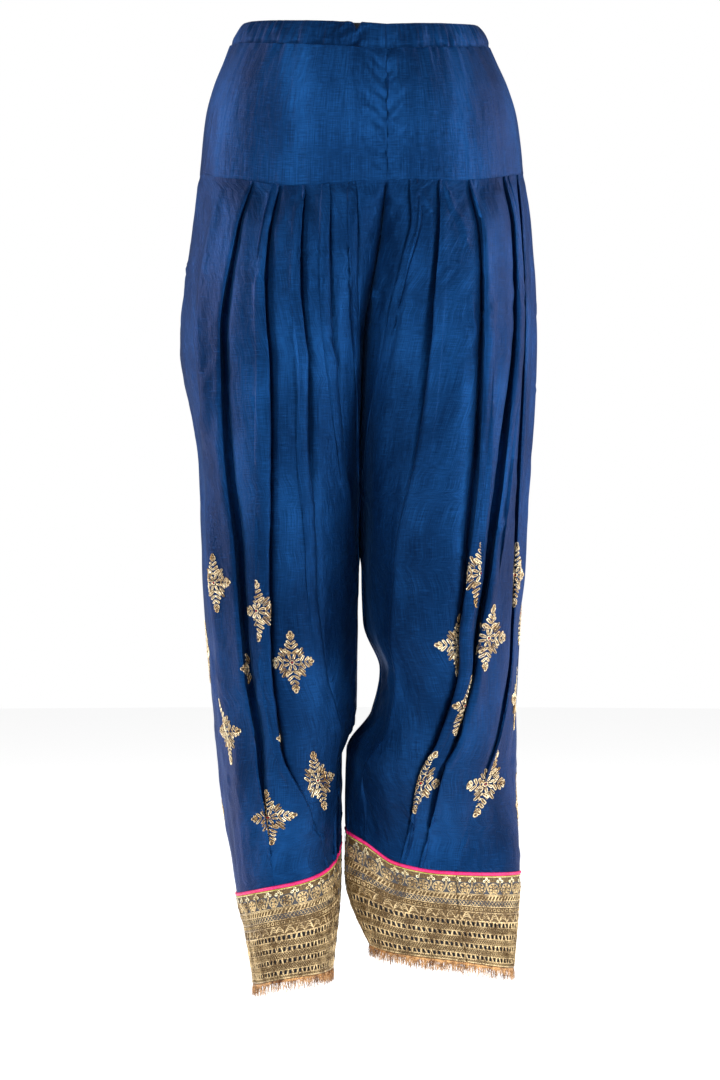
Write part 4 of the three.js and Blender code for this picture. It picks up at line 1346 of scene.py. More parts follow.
class Findings:
    """Models the small shapes that are copied many times: loops, leaves, beads and bars."""

    @staticmethod
    def start(add: Callable, **sizes) -> Piece:
        """Deselect everything, add a primitive and enter edit mode."""
        bpy.ops.object.select_all(action="DESELECT")
        add(**sizes)
        obj = bpy.context.active_object
        bpy.ops.object.mode_set(mode="EDIT")
        return obj

    @staticmethod
    def pick(obj: Piece, test: Callable) -> None:
        """Select only the vertices whose place passes a test."""
        mesh = bmesh.from_edit_mesh(obj.data)
        for part in (mesh.verts, mesh.edges, mesh.faces):
            for item in part:
                item.select = False
        for vert in mesh.verts:
            vert.select = bool(test(vert.co))
        mesh.select_flush_mode()
        bmesh.update_edit_mesh(obj.data)

    @classmethod
    def move(cls, obj: Piece, test: Callable, *way: float) -> None:
        """Move the vertices that pass a test."""
        cls.pick(obj, test)
        bpy.ops.transform.translate(value=way)

    @classmethod
    def squeeze(cls, obj: Piece, test: Callable | None, *scale: float) -> None:
        """Resize the vertices that pass a test, or all where there is none."""
        if test:
            cls.pick(obj, test)
        else:
            bpy.ops.mesh.select_all(action="SELECT")
        bpy.ops.transform.resize(value=scale)

    @staticmethod
    def read(obj: Piece, look: int = 0) -> Master:
        """Leave edit mode, read the shape and remove its object."""
        bpy.ops.object.mode_set(mode="OBJECT")
        mesh = obj.data
        mesh.calc_loop_triangles()
        points = np.array([v.co[:] for v in mesh.vertices])
        faces = np.array([t.vertices[:] for t in mesh.loop_triangles])
        bpy.data.objects.remove(obj)
        return Master(points, faces, np.full(len(faces), look))

    @classmethod
    def ring(cls, radius: float, wire: float, steps: int = 10, flat: float = 1.0) -> Master:
        """Round loop of wire, flattened where it is a sequin."""
        obj = cls.start(bpy.ops.mesh.primitive_torus_add, major_radius=radius, minor_radius=wire,
                        major_segments=steps, minor_segments=4)
        cls.squeeze(obj, None, 1.0, 1.0, flat)
        return cls.read(obj)

    @classmethod
    def petal(cls, length: float, width: float, wire: float, pointed: bool = False) -> Master:
        """Loop of wire with its foot at the origin, over a low pad of thread."""
        half = width / 2 - wire
        pull = (length - width) / 2
        obj = cls.start(bpy.ops.mesh.primitive_torus_add, major_radius=half, minor_radius=wire,
                        major_segments=12, minor_segments=4)
        cls.move(obj, lambda co: co.x > half * 0.3, pull, 0.0, 0.0)
        cls.move(obj, lambda co: co.x < -half * 0.3, -pull, 0.0, 0.0)
        cls.squeeze(obj, lambda co: co.x < -half * 0.6 - pull, 1.0, 0.35, 1.0)
        if pointed:
            cls.squeeze(obj, lambda co: co.x > half * 0.6 + pull, 1.0, 0.3, 1.0)
        outline = cls.read(obj)
        pad = cls.start(bpy.ops.mesh.primitive_circle_add, vertices=8, radius=1.0,
                        fill_type="TRIFAN")
        cls.squeeze(pad, None, length / 2 - wire, half, 1.0)
        cls.move(pad, lambda co: co.length < 0.01, 0.0, 0.0, wire * 0.7)
        cls.squeeze(pad, lambda co: co.x < -length * 0.3, 1.0, 0.4, 1.0)
        filling = cls.read(pad, 1)
        points = np.concatenate([outline.points, filling.points - [0, 0, wire * 0.4]])
        points[:, 0] += length / 2
        return Master(points, np.concatenate([outline.faces, filling.faces + len(outline.points)]),
                      np.concatenate([outline.looks, filling.looks]))

    @classmethod
    def bead(cls, radius: float, look: int = 0) -> Master:
        """Small faceted bead, a little flattened."""
        obj = cls.start(bpy.ops.mesh.primitive_uv_sphere_add, segments=6, ring_count=4,
                        radius=radius)
        cls.squeeze(obj, None, 1.0, 1.0, 0.75)
        return cls.read(obj, look)

    @classmethod
    def bar(cls, length: float, wire: float) -> Master:
        """Short plump bar of thread along X with its middle at the origin."""
        obj = cls.start(bpy.ops.mesh.primitive_cylinder_add, vertices=5, radius=wire, depth=length,
                        rotation=(0.0, math.pi / 2, 0.0), end_fill_type="TRIFAN")
        cls.pick(obj, lambda co: True)
        bpy.ops.mesh.bisect(plane_co=(0, 0, 0), plane_no=(0, 0, 1))
        bpy.ops.transform.resize(value=(1.35, 1.35, 1.0))
        master = cls.read(obj)
        points = master.points[:, [2, 1, 0]] * [1, 1, -1]
        return Master(points, master.faces, master.looks)

    @classmethod
    def strand(cls, length: float, wire: float, lean: float, curl: float) -> Master:
        """Hanging thread along -Z from the origin, with a lean and a curl."""
        obj = cls.start(bpy.ops.mesh.primitive_cylinder_add, vertices=4, radius=wire, depth=length,
                        location=(0.0, 0.0, -length / 2))
        for share in (0.33, 0.66):
            cls.pick(obj, lambda co: True)
            bpy.ops.mesh.bisect(plane_co=(0, 0, -length * share), plane_no=(0, 0, 1))
        master = cls.read(obj)
        points = master.points.copy()
        points[:, 2] -= length / 2 if points[:, 2].max() > 1e-6 else 0.0
        t = -points[:, 2] / length
        points[:, :2] *= (1 - 0.45 * t)[:, None]
        points[:, 0] += lean * t + curl * np.sin(2.6 * t)
        points[:, 1] += 0.6 * curl * t * t
        return Master(points, master.faces, master.looks)


@dataclass(frozen=True)
class Patch:
    """Even grid on a cloth surface, read by distances across and up, in millimetres.

    Points and normals are by place up and place across, and around says that the grid closes
    on itself across.
    """

    xs: Array
    ys: Array
    points: Array
    normals: Array
    around: bool = False

    def read(self, grid: Array, x: Array, y: Array) -> Array:
        """Values of a grid at places across and up."""
        if self.around:
            x = np.mod(x, self.xs[-1])
        fx = np.clip((x - self.xs[0]) / (self.xs[1] - self.xs[0]), 0, len(self.xs) - 1.001)
        fy = np.clip((y - self.ys[0]) / (self.ys[1] - self.ys[0]), 0, len(self.ys) - 1.001)
        i = fx.astype(int)
        j = fy.astype(int)
        a = (fx - i)[:, None]
        b = (fy - j)[:, None]
        low = grid[j, i] * (1 - a) + grid[j, i + 1] * a
        high = grid[j + 1, i] * (1 - a) + grid[j + 1, i + 1] * a
        return low * (1 - b) + high * b

    def place(self, local: Array) -> Array:
        """Points of the surface for local points of across, up and out."""
        x, y = local[:, 0], local[:, 1]
        return self.read(self.points, x, y) + self.read(self.normals, x, y) * local[:, 2:3]


class Stamps:
    """Copies of small shapes and runs of thread, laid flat before they go on a patch."""

    def __init__(self, seed: int) -> None:
        """Start empty.

        Args:
            seed: Seed of the small unevenness of hand work.
        """
        self.points: list[Array] = []
        self.faces: list[Array] = []
        self.looks: list[Array] = []
        self.count = 0
        self.random = np.random.default_rng(seed)

    def keep(self, points: Array, faces: Array, looks: Array) -> None:
        """Add one finished copy."""
        self.points.append(points)
        self.faces.append(faces + self.count)
        self.looks.append(looks)
        self.count += len(points)

    def add(self, master: Master, x: float, y: float, turn: float = 0.0, scale: float = 1.0,
            lift: float = 0.0, uneven: float = 0.0) -> None:
        """Add a copy of a shape.

        Args:
            master: The shape.
            x: Place across.
            y: Place up.
            turn: Turn in degrees, from across towards up.
            scale: Size of the copy.
            lift: Height over the cloth.
            uneven: How far the turn and size wander, as a share.
        """
        if uneven:
            turn += 60 * uneven * self.random.uniform(-1, 1)
            scale *= 1 + uneven * self.random.uniform(-1, 1)
        points = turned(master.points * scale, turn) + [x, y, lift]
        self.keep(points, master.faces, master.looks)

    def thread(self, path: Array, wire: float, sides: int = 4, closed: bool = False) -> None:
        """Add a run of thread along a path of across, up and out.

        Args:
            path: Points of the middle of the thread.
            wire: Radius.
            sides: Number of sides.
            closed: Whether it ends where it starts.
        """
        path = np.asarray(path, float)
        n = len(path)
        if closed:
            along = np.roll(path, -1, axis=0) - np.roll(path, 1, axis=0)
        else:
            along = np.gradient(path, axis=0)
        along = unit(along)
        across = unit(np.stack([-along[:, 1], along[:, 0], np.zeros(n)], axis=1))
        up = np.cross(along, across)
        angle = np.linspace(0, 2 * math.pi, sides, endpoint=False)[None, :, None] + math.pi / 4
        ring = across[:, None] * np.cos(angle) + up[:, None] * np.sin(angle)
        points = (path[:, None] + wire * ring).reshape(-1, 3)
        quads = []
        for i in range(n if closed else n - 1):
            k = (i + 1) % n
            for j in range(sides):
                m = (j + 1) % sides
                quads.append((i * sides + j, k * sides + j, k * sides + m))
                quads.append((i * sides + j, k * sides + m, i * sides + m))
        if not closed:
            for j in range(1, sides - 1):
                quads.append((0, j, j + 1))
                end = (n - 1) * sides
                quads.append((end, end + j + 1, end + j))
        faces = np.array(quads)[:, ::-1]
        self.keep(points, faces, np.zeros(len(faces)))

    def make(self, name: str, patch: Patch) -> Piece:
        """Place all copies on a patch as one mesh."""
        points = patch.place(np.concatenate(self.points))
        obj = MeshMaker.build(name, points, np.concatenate(self.faces), None, THREAD_ANGLE)
        obj.data.polygons.foreach_set("material_index", np.concatenate(self.looks).astype(np.int32))
        return obj


def leg_patch(surface: LegSurface, share: float, level: float, half: float, reach: float) -> Patch:
    """Patch of a leg's cloth round a place, which follows the cloth over its pleats.

    Args:
        surface: Surface of the leg.
        share: Share of the patch's middle.
        level: Level of its middle.
        half: Distance that it reaches to each side.
        reach: Distance that it reaches up and down.

    Returns:
        The patch, with across towards the viewer's right in front.
    """
    step = surface.levels[0] - surface.levels[1]
    row = (surface.levels[0] - level) / step
    middle = int(round(row))
    column = int(np.argmin(np.abs(surface.shares[middle] - share)))
    heights = surface.points[:, column, 2]
    zc = np.interp(row, np.arange(len(heights)), heights)
    xs = np.arange(-half, half + 1.0, 1.0)
    ys = np.arange(-reach, reach + 1.5, 1.5)
    points = []
    normals = []
    for y in ys:
        r = np.interp(-(zc + y), -heights, np.arange(len(heights)))
        r0 = min(int(r), len(heights) - 2)
        f = r - r0
        line = surface.points[r0] * (1 - f) + surface.points[r0 + 1] * f
        facing = surface.normals[r0] * (1 - f) + surface.normals[r0 + 1] * f
        arc = arc_length(line)
        want = arc[column] + xs * surface.sign
        points.append(along_line(want, arc, line))
        normals.append(along_line(want, arc, facing))
    return Patch(xs, ys, np.array(points), unit(np.array(normals)))


@dataclass(frozen=True)
class Motif:
    """Place of one embroidered star: share, level, width, height and the part that shows."""

    share: float
    level: float
    width: float = 46.0
    height: float = 64.0
    first: float = -1.0
    last: float = 1.0


@dataclass
class Embroidery:
    """Raised stars of looped gold wire on one leg."""

    surface: LegSurface
    plans: tuple[Motif, ...]
    wire: bpy.types.Material
    pad: bpy.types.Material
    bead: bpy.types.Material
    width: float = 47.0
    height: float = 66.0
    loop_wire: float = 0.5

    def shapes(self) -> dict[str, Master]:
        """Model the loops, leaf and beads once."""
        w = self.loop_wire
        return {
            "long": Findings.petal(9.4, 3.4, w),
            "short": Findings.petal(7.0, 3.3, w),
            "leaf": Findings.petal(13.5, 4.0, w, pointed=True),
            "ring": Findings.ring(2.1, w),
            "tip": Findings.petal(6.0, 4.2, w),
            "seed": Findings.bead(1.0, 2),
        }

    def star(self, shapes: dict[str, Master], stamps: Stamps) -> None:
        """Lay out one whole star, flat, about its middle."""
        lift = self.loop_wire * 0.8
        uneven = 0.08
        long, short = shapes["long"], shapes["short"]
        stamps.add(shapes["ring"], 0, 0, lift=lift + 0.6)
        stamps.add(shapes["seed"], 0, 0, lift=lift + 0.5)
        for k in range(8):
            turn = 45 * k + 22.5
            stamps.add(short, *polar(2.9, turn), turn, 0.85, lift + 0.2, uneven)
        upright = (self.height / 2, (9.0, 13.8, 18.6, 23.2))
        level = (self.width / 2, (8.2, 12.6, 16.4))
        for turn, (reach, rounds) in ((90, upright), (270, upright), (0, level), (180, level)):
            for k, r in enumerate(rounds):
                size = 0.5 + 0.62 * (1 - r / reach)
                spread = 56 - 6 * k
                for side in (-1, 1):
                    stamps.add(long if k < 2 else short, *polar(r, turn), turn + side * spread,
                               size if k < 2 else size * 1.15, lift, uneven)
            for side in (-1, 0, 1):
                stamps.add(shapes["tip"], *polar(reach - 6.4, turn), turn + side * 50,
                           1.05 if side == 0 else 0.72, lift, uneven)
        for turn in (54, 126, 234, 306):
            for side, start, size in ((0, 9.0, 0.78), (-1, 8.2, 0.62), (1, 8.2, 0.62)):
                stamps.add(shapes["leaf"], *polar(start, turn + side * 15), turn + side * 12,
                           size, lift, uneven)

    def build(self) -> list[Piece]:
        """Make every star of the leg on its cloth."""
        side = self.surface.form.plan.side.label
        shapes = self.shapes()
        made = []
        for i, plan in enumerate(self.plans):
            stamps = Stamps(300 + 20 * self.surface.sign + i)
            self.star(shapes, stamps)
            kept = Stamps(0)
            for points, faces, looks in zip(stamps.points, stamps.faces, stamps.looks):
                points = points * [plan.width, plan.height, 1] / [self.width, self.height, 1]
                place = points[:, 0].mean() / (plan.width / 2)
                if plan.first <= place <= plan.last:
                    kept.keep(points, faces - faces.min(), looks)
            patch = leg_patch(self.surface, plan.share, plan.level, self.width * 0.62,
                              self.height * 0.6)
            node = f"motif_{side}_{i + 1:02d}"
            obj = kept.make(node + "_thread", patch)
            dress(obj, self.wire, Slot.EMBROIDERY, node)
            obj.data.materials.append(self.pad)
            obj.data.materials.append(self.bead)
            made.append(obj)
        return made


class HemForm:
    """Lace band of one leg: an even grid round the hem, from the piping down to the fringe."""

    COLUMNS = 360
    ROWS = 30
    LEVELS = (-940, -800)

    def __init__(self, surface: LegSurface) -> None:
        """Work out the band.

        Args:
            surface: Surface of the leg above the hem.
        """
        plan = surface.form.plan
        self.sign = surface.sign
        row = surface.points[-1].copy()
        row[0] = row[-1] = (row[0] + row[-1]) / 2
        arc = arc_length(row[:, :2])
        arc /= arc[-1]
        even = np.linspace(0, 1, self.COLUMNS + 1)
        top = along_line(even, arc, row[:, :2])
        share = np.interp(even, arc, np.clip(surface.shares[-1], 0, 1))
        relief = np.interp(even, arc, surface.heights[-1])
        self.hem = table_at(plan.hem, share)
        z0 = self.hem - PIPING_RADIUS - SEAM_GAP
        z1 = table_at(plan.lace_end, share)
        rows = []
        for t in np.linspace(0, 1, self.ROWS):
            z = z0 + (z1 - z0) * t
            base, outward = surface.form.base(np.clip(z, *self.LEVELS), share[:, None])
            free = base[:, 0] + outward[:, 0] * (relief * (1 - 0.6 * t))[:, None]
            blend = min(1.0, t * 3) ** 0.7
            rows.append(np.column_stack([top * (1 - blend) + free * blend, z]))
        self.points = np.array(rows)
        self.points[:, -1] = self.points[:, 0]
        self.normals = self.face_out(self.points)
        self.length = float(arc_length(self.points[0, :, :2])[-1])

    def face_out(self, points: Array) -> Array:
        """Outward unit normals of the closed band."""
        wide = np.concatenate([points[:, -3:-1], points, points[:, 1:3]], axis=1)
        return grid_normals(wide, self.sign)[:, 2:-2]

    def tube(self, ring: Array, facing: Array, radius: Array, sides: int,
             flat: float = 1.0) -> tuple[Array, Array]:
        """Closed tube round the hem.

        Args:
            ring: Middle of the tube at each column.
            facing: Outward direction at each column.
            radius: Radius at each column.
            sides: Number of sides.
            flat: Its depth against its height.

        Returns:
            Points, and quads that face outwards.
        """
        angle = np.linspace(0, 2 * math.pi, sides, endpoint=False)[None, :, None]
        grid = ring[:, None] + radius[:, None, None] * (
            facing[:, None] * flat * np.sin(angle) + np.array([0, 0, 1.0]) * np.cos(angle))
        quads = MeshMaker.grid_faces(self.COLUMNS + 1, sides, True) % (self.COLUMNS * sides)
        return grid.reshape(-1, 3), quads[:, ::-1] if self.sign > 0 else quads

    def patch(self, pitch: float, repeats: int, height: float) -> Patch:
        """Patch of the band whose across counts repeats and whose up is minus the drop.

        Args:
            pitch: Width that one repeat has in the pattern.
            repeats: Number of repeats round the band.
            height: Height of the pattern.

        Returns:
            The patch.
        """
        flip = self.sign < 0
        points = self.points[::-1, ::-1] if flip else self.points[::-1]
        normals = self.normals[::-1, ::-1] if flip else self.normals[::-1]
        xs = np.linspace(0, pitch * repeats, self.COLUMNS + 1)
        ys = np.linspace(-height, 0, self.ROWS)
        return Patch(xs, ys, points, normals, around=True)


@dataclass
class Piping:
    """Satin-covered cord round the hem with a thin line of bright thread under it."""

    hem: HemForm
    side: Side
    satin: bpy.types.Material
    line: bpy.types.Material
    radius: float = PIPING_RADIUS
    line_radius: float = 0.5
    line_drop: float = 2.35

    def run(self, name: str, drop: float, out: float, radius: float, sides: int) -> Piece:
        """Make one cord round the hem, with a slight twist.

        Args:
            name: Name of the piece.
            drop: Its drop under the hem.
            out: Its distance out from the cloth.
            radius: Its radius.
            sides: Number of sides.

        Returns:
            The cord.
        """
        n = self.hem.COLUMNS
        facing = unit(self.hem.normals[0, :n] * [1, 1, 0])
        ring = self.hem.points[0, :n].copy()
        ring[:, 2] = self.hem.hem[:n] - drop
        twist = 1 + 0.03 * np.sin(np.arange(n) * 1.3)
        return MeshMaker.build(name, *self.hem.tube(ring + facing * out, facing, radius * twist,
                                                    sides))

    def build(self) -> list[Piece]:
        """Make the cord and the thread."""
        node = f"hem_piping_{self.side.label}"
        cord = self.run(node + "_cord", 0.0, -0.3, self.radius, 10)
        dress(cord, self.satin, Slot.PIPING, node)
        line = self.run(node + "_line", self.line_drop, 0.25, self.line_radius, 6)
        dress(line, self.line, Slot.PIPING)
        return [cord, line]


@dataclass
class LaceBand:
    """Metallic lace: a ground with rows of slits, and thread, loops and sequins over it."""

    hem: HemForm
    side: Side
    ground: bpy.types.Material
    # Material of the slit pits: a net colour darkened as painted shade.
    net: bpy.types.Material
    thread: bpy.types.Material
    sequin: bpy.types.Material
    cut: Cut
    pitch: float = 14.8
    height: float = 88.0
    thickness: float = 1.5
    pit: float = 1.2
    slit_pitch: float = 4.93
    slit_lean: float = 0.62
    slit_rows: tuple = ((45.6, 49.8), (57.0, 61.0), (68.3, 72.2), (79.4, 83.2))
    ground_rows: tuple = (0.0, 2.2, 4.6, 8.0, 11.5, 15.0, 18.4, 21.5, 24.6, 28.5, 32.0, 36.0, 40.5,
                          53.4, 64.6, 75.8)
    straight: tuple = ((1.0, 0.4), (18.2, 0.45), (19.3, 0.4), (23.9, 0.5), (30.0, 0.5),
                       (36.2, 0.45), (44.6, 0.5), (86.8, 0.7))
    scallops: tuple = ((37.0, 43.6, 0.5), (38.8, 43.8, 0.42), (40.6, 44.0, 0.38))
    zigzags: tuple = (50.6, 53.6, 61.8, 65.0, 73.0, 76.0, 84.0)

    @property
    def repeats(self) -> int:
        """Number of repeats round the band."""
        return int(round(self.hem.length / self.pitch))

    @property
    def total(self) -> float:
        """Width of the whole pattern."""
        return self.repeats * self.pitch

    @property
    def bars(self) -> int:
        """Number of slits in a row."""
        return int(round(self.total / self.slit_pitch))

    def base(self, patch: Patch) -> Piece:
        """Ground of the lace as a thin shell with rows of recessed slits, whose pits take the dark net
        material: a net colour darkened as painted shade of the open slits.
        """
        step = self.total / self.bars
        slits = [drop for row in self.slit_rows for drop in row]
        edges = sorted({*self.ground_rows, *slits, self.height})
        leans = {drop: self.slit_lean * (1, -1)[i % 2] for i, drop in enumerate(slits)}
        cols = (np.arange(self.bars)[:, None] * step + step * np.array([0.25, 0.75])).ravel()
        way = np.tile([1.0, -1.0], self.bars) * np.repeat(1 - 2 * (np.arange(self.bars) % 2), 2)
        zero = np.zeros_like(cols)
        flat = np.concatenate([
            np.column_stack([cols + leans.get(drop, 0.0) * way, zero - drop, zero])
            for drop in edges])
        rows, n = len(edges), len(cols)
        total = rows * n
        quads = []
        looks = []
        pits = []
        floor = 2 * total
        for r in range(rows - 1):
            slit_row = edges[r] in slits[::2]
            for c in range(n):
                d = (c + 1) % n
                corners = (r * n + c, (r + 1) * n + c, (r + 1) * n + d, r * n + d)
                a, b, e, f = corners
                quads.append((a + total, f + total, e + total, b + total))
                looks.append(0)
                # Pits of the slits take look 1, the dark net, as painted shade in the slits.
                if slit_row and c % 2 == 0:
                    low = [floor + i for i in range(4)]
                    floor += 4
                    pits.append(flat[list(corners)] - [0, 0, self.pit])
                    for i in range(4):
                        k = (i + 1) % 4
                        quads.append((corners[i], low[i], low[k], corners[k])[::-1])
                        looks.append(1)
                    quads.append(tuple(low))
                    looks.append(1)
                else:
                    quads.append(corners)
                    looks.append(0)
        for c in range(n):
            d = (c + 1) % n
            low = (rows - 1) * n
            quads.append((c, d, d + total, c + total))
            quads.append((low + c, low + c + total, low + d + total, low + d))
            looks += [0, 0]
        everything = np.concatenate([flat, flat - [0, 0, self.thickness], *pits])
        obj = MeshMaker.build(f"lace_band_{self.side.label}_ground", patch.place(everything),
                              np.array(quads), everything[:, :2], 50.0)
        obj.data.polygons.foreach_set("material_index", np.array(looks, np.int32))
        return obj

    def wave(self, top: float, low: float, pitch: float, steps: int, shift: float = 0.0,
             sharp: bool = True, lift: float = 0.35) -> Array:
        """Path of a zigzag or a row of scallops round the band.

        Args:
            top: Drop of its highest points.
            low: Drop of its lowest points.
            pitch: Distance from one point to the next of a kind.
            steps: Points in each pitch.
            shift: Shift along the band, in pitches.
            sharp: Zigzag if true, else scallops.
            lift: Height over the ground.

        Returns:
            Points of the path, closed round the band.
        """
        count = int(round(self.total / pitch))
        t = np.arange(count * steps) / steps
        phase = t % 1.0
        rise = 1 - np.abs(2 * phase - 1) if sharp else np.sin(math.pi * phase)
        x = (t + shift) * self.total / count
        return np.stack([x, -(low + (top - low) * rise), np.full_like(x, lift)], axis=1)

    def straight_path(self, drop: float) -> Array:
        """Path of a straight thread round the band."""
        x = np.linspace(0, self.total, 180, endpoint=False)
        return np.stack([x, np.full_like(x, -drop), np.full_like(x, 0.35)], axis=1)

    def threads(self) -> Stamps:
        """Thread work: arcade, rope, chevrons, rings, scallops and stitches."""
        stamps = Stamps(500 + self.hem.sign)
        total = self.total
        for drop, wire in self.straight:
            stamps.thread(self.straight_path(drop), wire, 4, closed=True)
        self.arcade(stamps)
        bar = Findings.bar(3.6, 0.5)
        ropes = int(round(total / 3.7))
        for k in range(ropes):
            stamps.add(bar, (k + 0.5) * total / ropes, -21.6, 58, 1.0, 0.6, 0.05)
        for shift in (0.0, 0.5):
            stamps.thread(self.wave(24.6, 29.4, 7.4, 2, shift), 0.5, 3, closed=True)
        ring = Findings.ring(1.45, 0.42, 8)
        rings = self.bars
        for k in range(rings):
            stamps.add(ring, (k + 0.5) * total / rings, -33.0, 0, 1.0, 0.5, 0.05)
        for top, low, wire in self.scallops:
            stamps.thread(self.wave(top, low, 9.87, 7, 0.0, False, 0.5), wire, 3, closed=True)
        step = total / self.bars
        for top, low in self.slit_rows:
            for k in range(self.bars):
                lean = 17 if k % 2 else -17
                stamps.add(bar, (k + 1.0) * step, -(top + low) / 2, 90 + lean, 1.25, 0.45, 0.05)
            stamps.thread(self.straight_path(top - 0.5), 0.42, 3, closed=True)
            stamps.thread(self.straight_path(low + 0.5), 0.42, 3, closed=True)
        for top in self.zigzags:
            stamps.thread(self.wave(top, top + 2.7, step / 2, 2, 0.0, True, 0.4), 0.45, 3,
                          closed=True)
        return stamps

    def arcade(self, stamps: Stamps) -> None:
        """Add the arches with their stems and rosettes."""
        loop = Findings.petal(3.7, 2.5, 0.42)
        knot = Findings.bead(0.75)
        for k in range(self.repeats):
            x = (k + 0.5) * self.pitch
            stem = x + self.pitch / 2
            for lean in (-0.5, 0.5):
                path = np.array([[stem + lean, -6.2, 0.5], [stem + lean * 1.2, -11.0, 0.6],
                                 [stem + lean * 3.0, -14.4, 0.5], [stem + lean * 9.0, -17.8, 0.4]])
                stamps.thread(path, 0.42)
            arch = [[x + 5.4 * math.cos(a), -12.4 + 5.0 * math.sin(a) * (1 if a < math.pi else 0.9),
                     0.45] for a in np.linspace(-0.5, math.pi + 0.5, 11)]
            stamps.thread(np.array(arch), 0.42)
            for j in range(6):
                turn = 60 * j + 30
                dx, dy = polar(0.9, turn)
                stamps.add(loop, x + dx, -12.0 + dy, turn, 1.0, 0.5, 0.06)
            stamps.add(knot, x, -12.0, lift=1.0)
            for lean in (-1, 1):
                stamps.add(loop, x + lean * 1.2, -17.4, 90 - lean * 40, 0.8, 0.5, 0.06)

    def sequins(self) -> Stamps:
        """Groups of three round sequins along the top."""
        stamps = Stamps(700 + self.hem.sign)
        disc = Findings.ring(1.05, 0.5, 10, 0.45)
        for k in range(self.repeats):
            x = (k + 1) * self.pitch
            for dx, drop in ((0.0, 2.9), (-2.5, 5.2), (2.4, 5.0)):
                stamps.add(disc, x + dx, -drop, 0, 1.0, 0.8, 0.05)
        return stamps

    def build(self, with_pieces: tuple = ()) -> list[Piece]:
        """Make the band with its threads and sequins.

        Args:
            with_pieces: Other pieces that hang on the band.

        Returns:
            Ground, threads and sequins.
        """
        patch = self.hem.patch(self.pitch, self.repeats, self.height)
        node = f"lace_band_{self.side.label}"
        ground = self.base(patch)
        dress(ground, self.ground, Slot.LACE, node)
        ground.data.materials.append(self.net)
        work = self.threads().make(node + "_thread", patch)
        dress(work, self.thread, Slot.LACE)
        discs = self.sequins().make(node + "_sequins", patch)
        dress(discs, self.sequin, Slot.LACE)
        self.cut.declare(ground, with_pieces=(work, discs, *with_pieces))
        return [ground, work, discs]


@dataclass
class Fringe:
    """Loose metallic threads under the lace, on a narrow twisted header."""

    hem: HemForm
    side: Side
    material: bpy.types.Material
    strands: int = 1050
    length: float = 13.4

    def hang(self, stamps: Stamps) -> None:
        """Add the strands, each at its own place, turn and length."""
        kinds = [Findings.strand(self.length, 0.3, lean, curl)
                 for lean, curl in ((0.6, 0.5), (-3.2, 1.4), (4.2, -1.2), (-0.8, -2.0))]
        low = self.hem.points[-1]
        arc = arc_length(low)
        random = stamps.random
        for k in range(self.strands):
            kind = kinds[int(random.integers(len(kinds)))]
            want = (k + random.uniform(0, 1)) / self.strands * arc[-1]
            out = unit(along_line(want, arc, self.hem.normals[-1]) * [1, 1, 0])
            along = np.array([-out[1], out[0], 0.0])
            turn = math.degrees(random.uniform(0, 2 * math.pi))
            clump = 0.1 * math.sin(want / 3.1 + 0.7 * math.sin(want / 7.0))
            hung = turned(kind.points * [1, 1, random.uniform(0.6, 1.06)], turn)
            x = hung[:, 0] - clump * hung[:, 2]
            y = hung[:, 1] * 0.6
            start = along_line(want, arc, low) - out * random.uniform(0.1, 1.3) + [0, 0, 0.6]
            points = start + x[:, None] * along - y[:, None] * out + hung[:, 2:3] * [0, 0, 1]
            stamps.keep(points, kind.faces, kind.looks)

    def header(self, stamps: Stamps) -> None:
        """Add the twisted header that the strands hang from."""
        n = self.hem.COLUMNS
        facing = self.hem.normals[-1, :n]
        middle = self.hem.points[-1, :n] - facing * 0.7 + [0, 0, -1.4]
        swell = 1.25 + 0.2 * np.sin(np.arange(n) * 1.9)
        points, quads = self.hem.tube(middle, facing, swell, 6, 0.62)
        triangles = np.concatenate([quads[:, [0, 1, 2]], quads[:, [0, 2, 3]]])
        stamps.keep(points, triangles, np.zeros(len(triangles)))

    def build(self) -> Piece:
        """Make the strands and the header as one mesh."""
        stamps = Stamps(900 + self.hem.sign)
        self.hang(stamps)
        self.header(stamps)
        node = f"hem_fringe_{self.side.label}"
        obj = MeshMaker.build(node + "_threads", np.concatenate(stamps.points),
                              np.concatenate(stamps.faces), None, THREAD_ANGLE)
        dress(obj, self.material, Slot.FRINGE, node)
        return obj


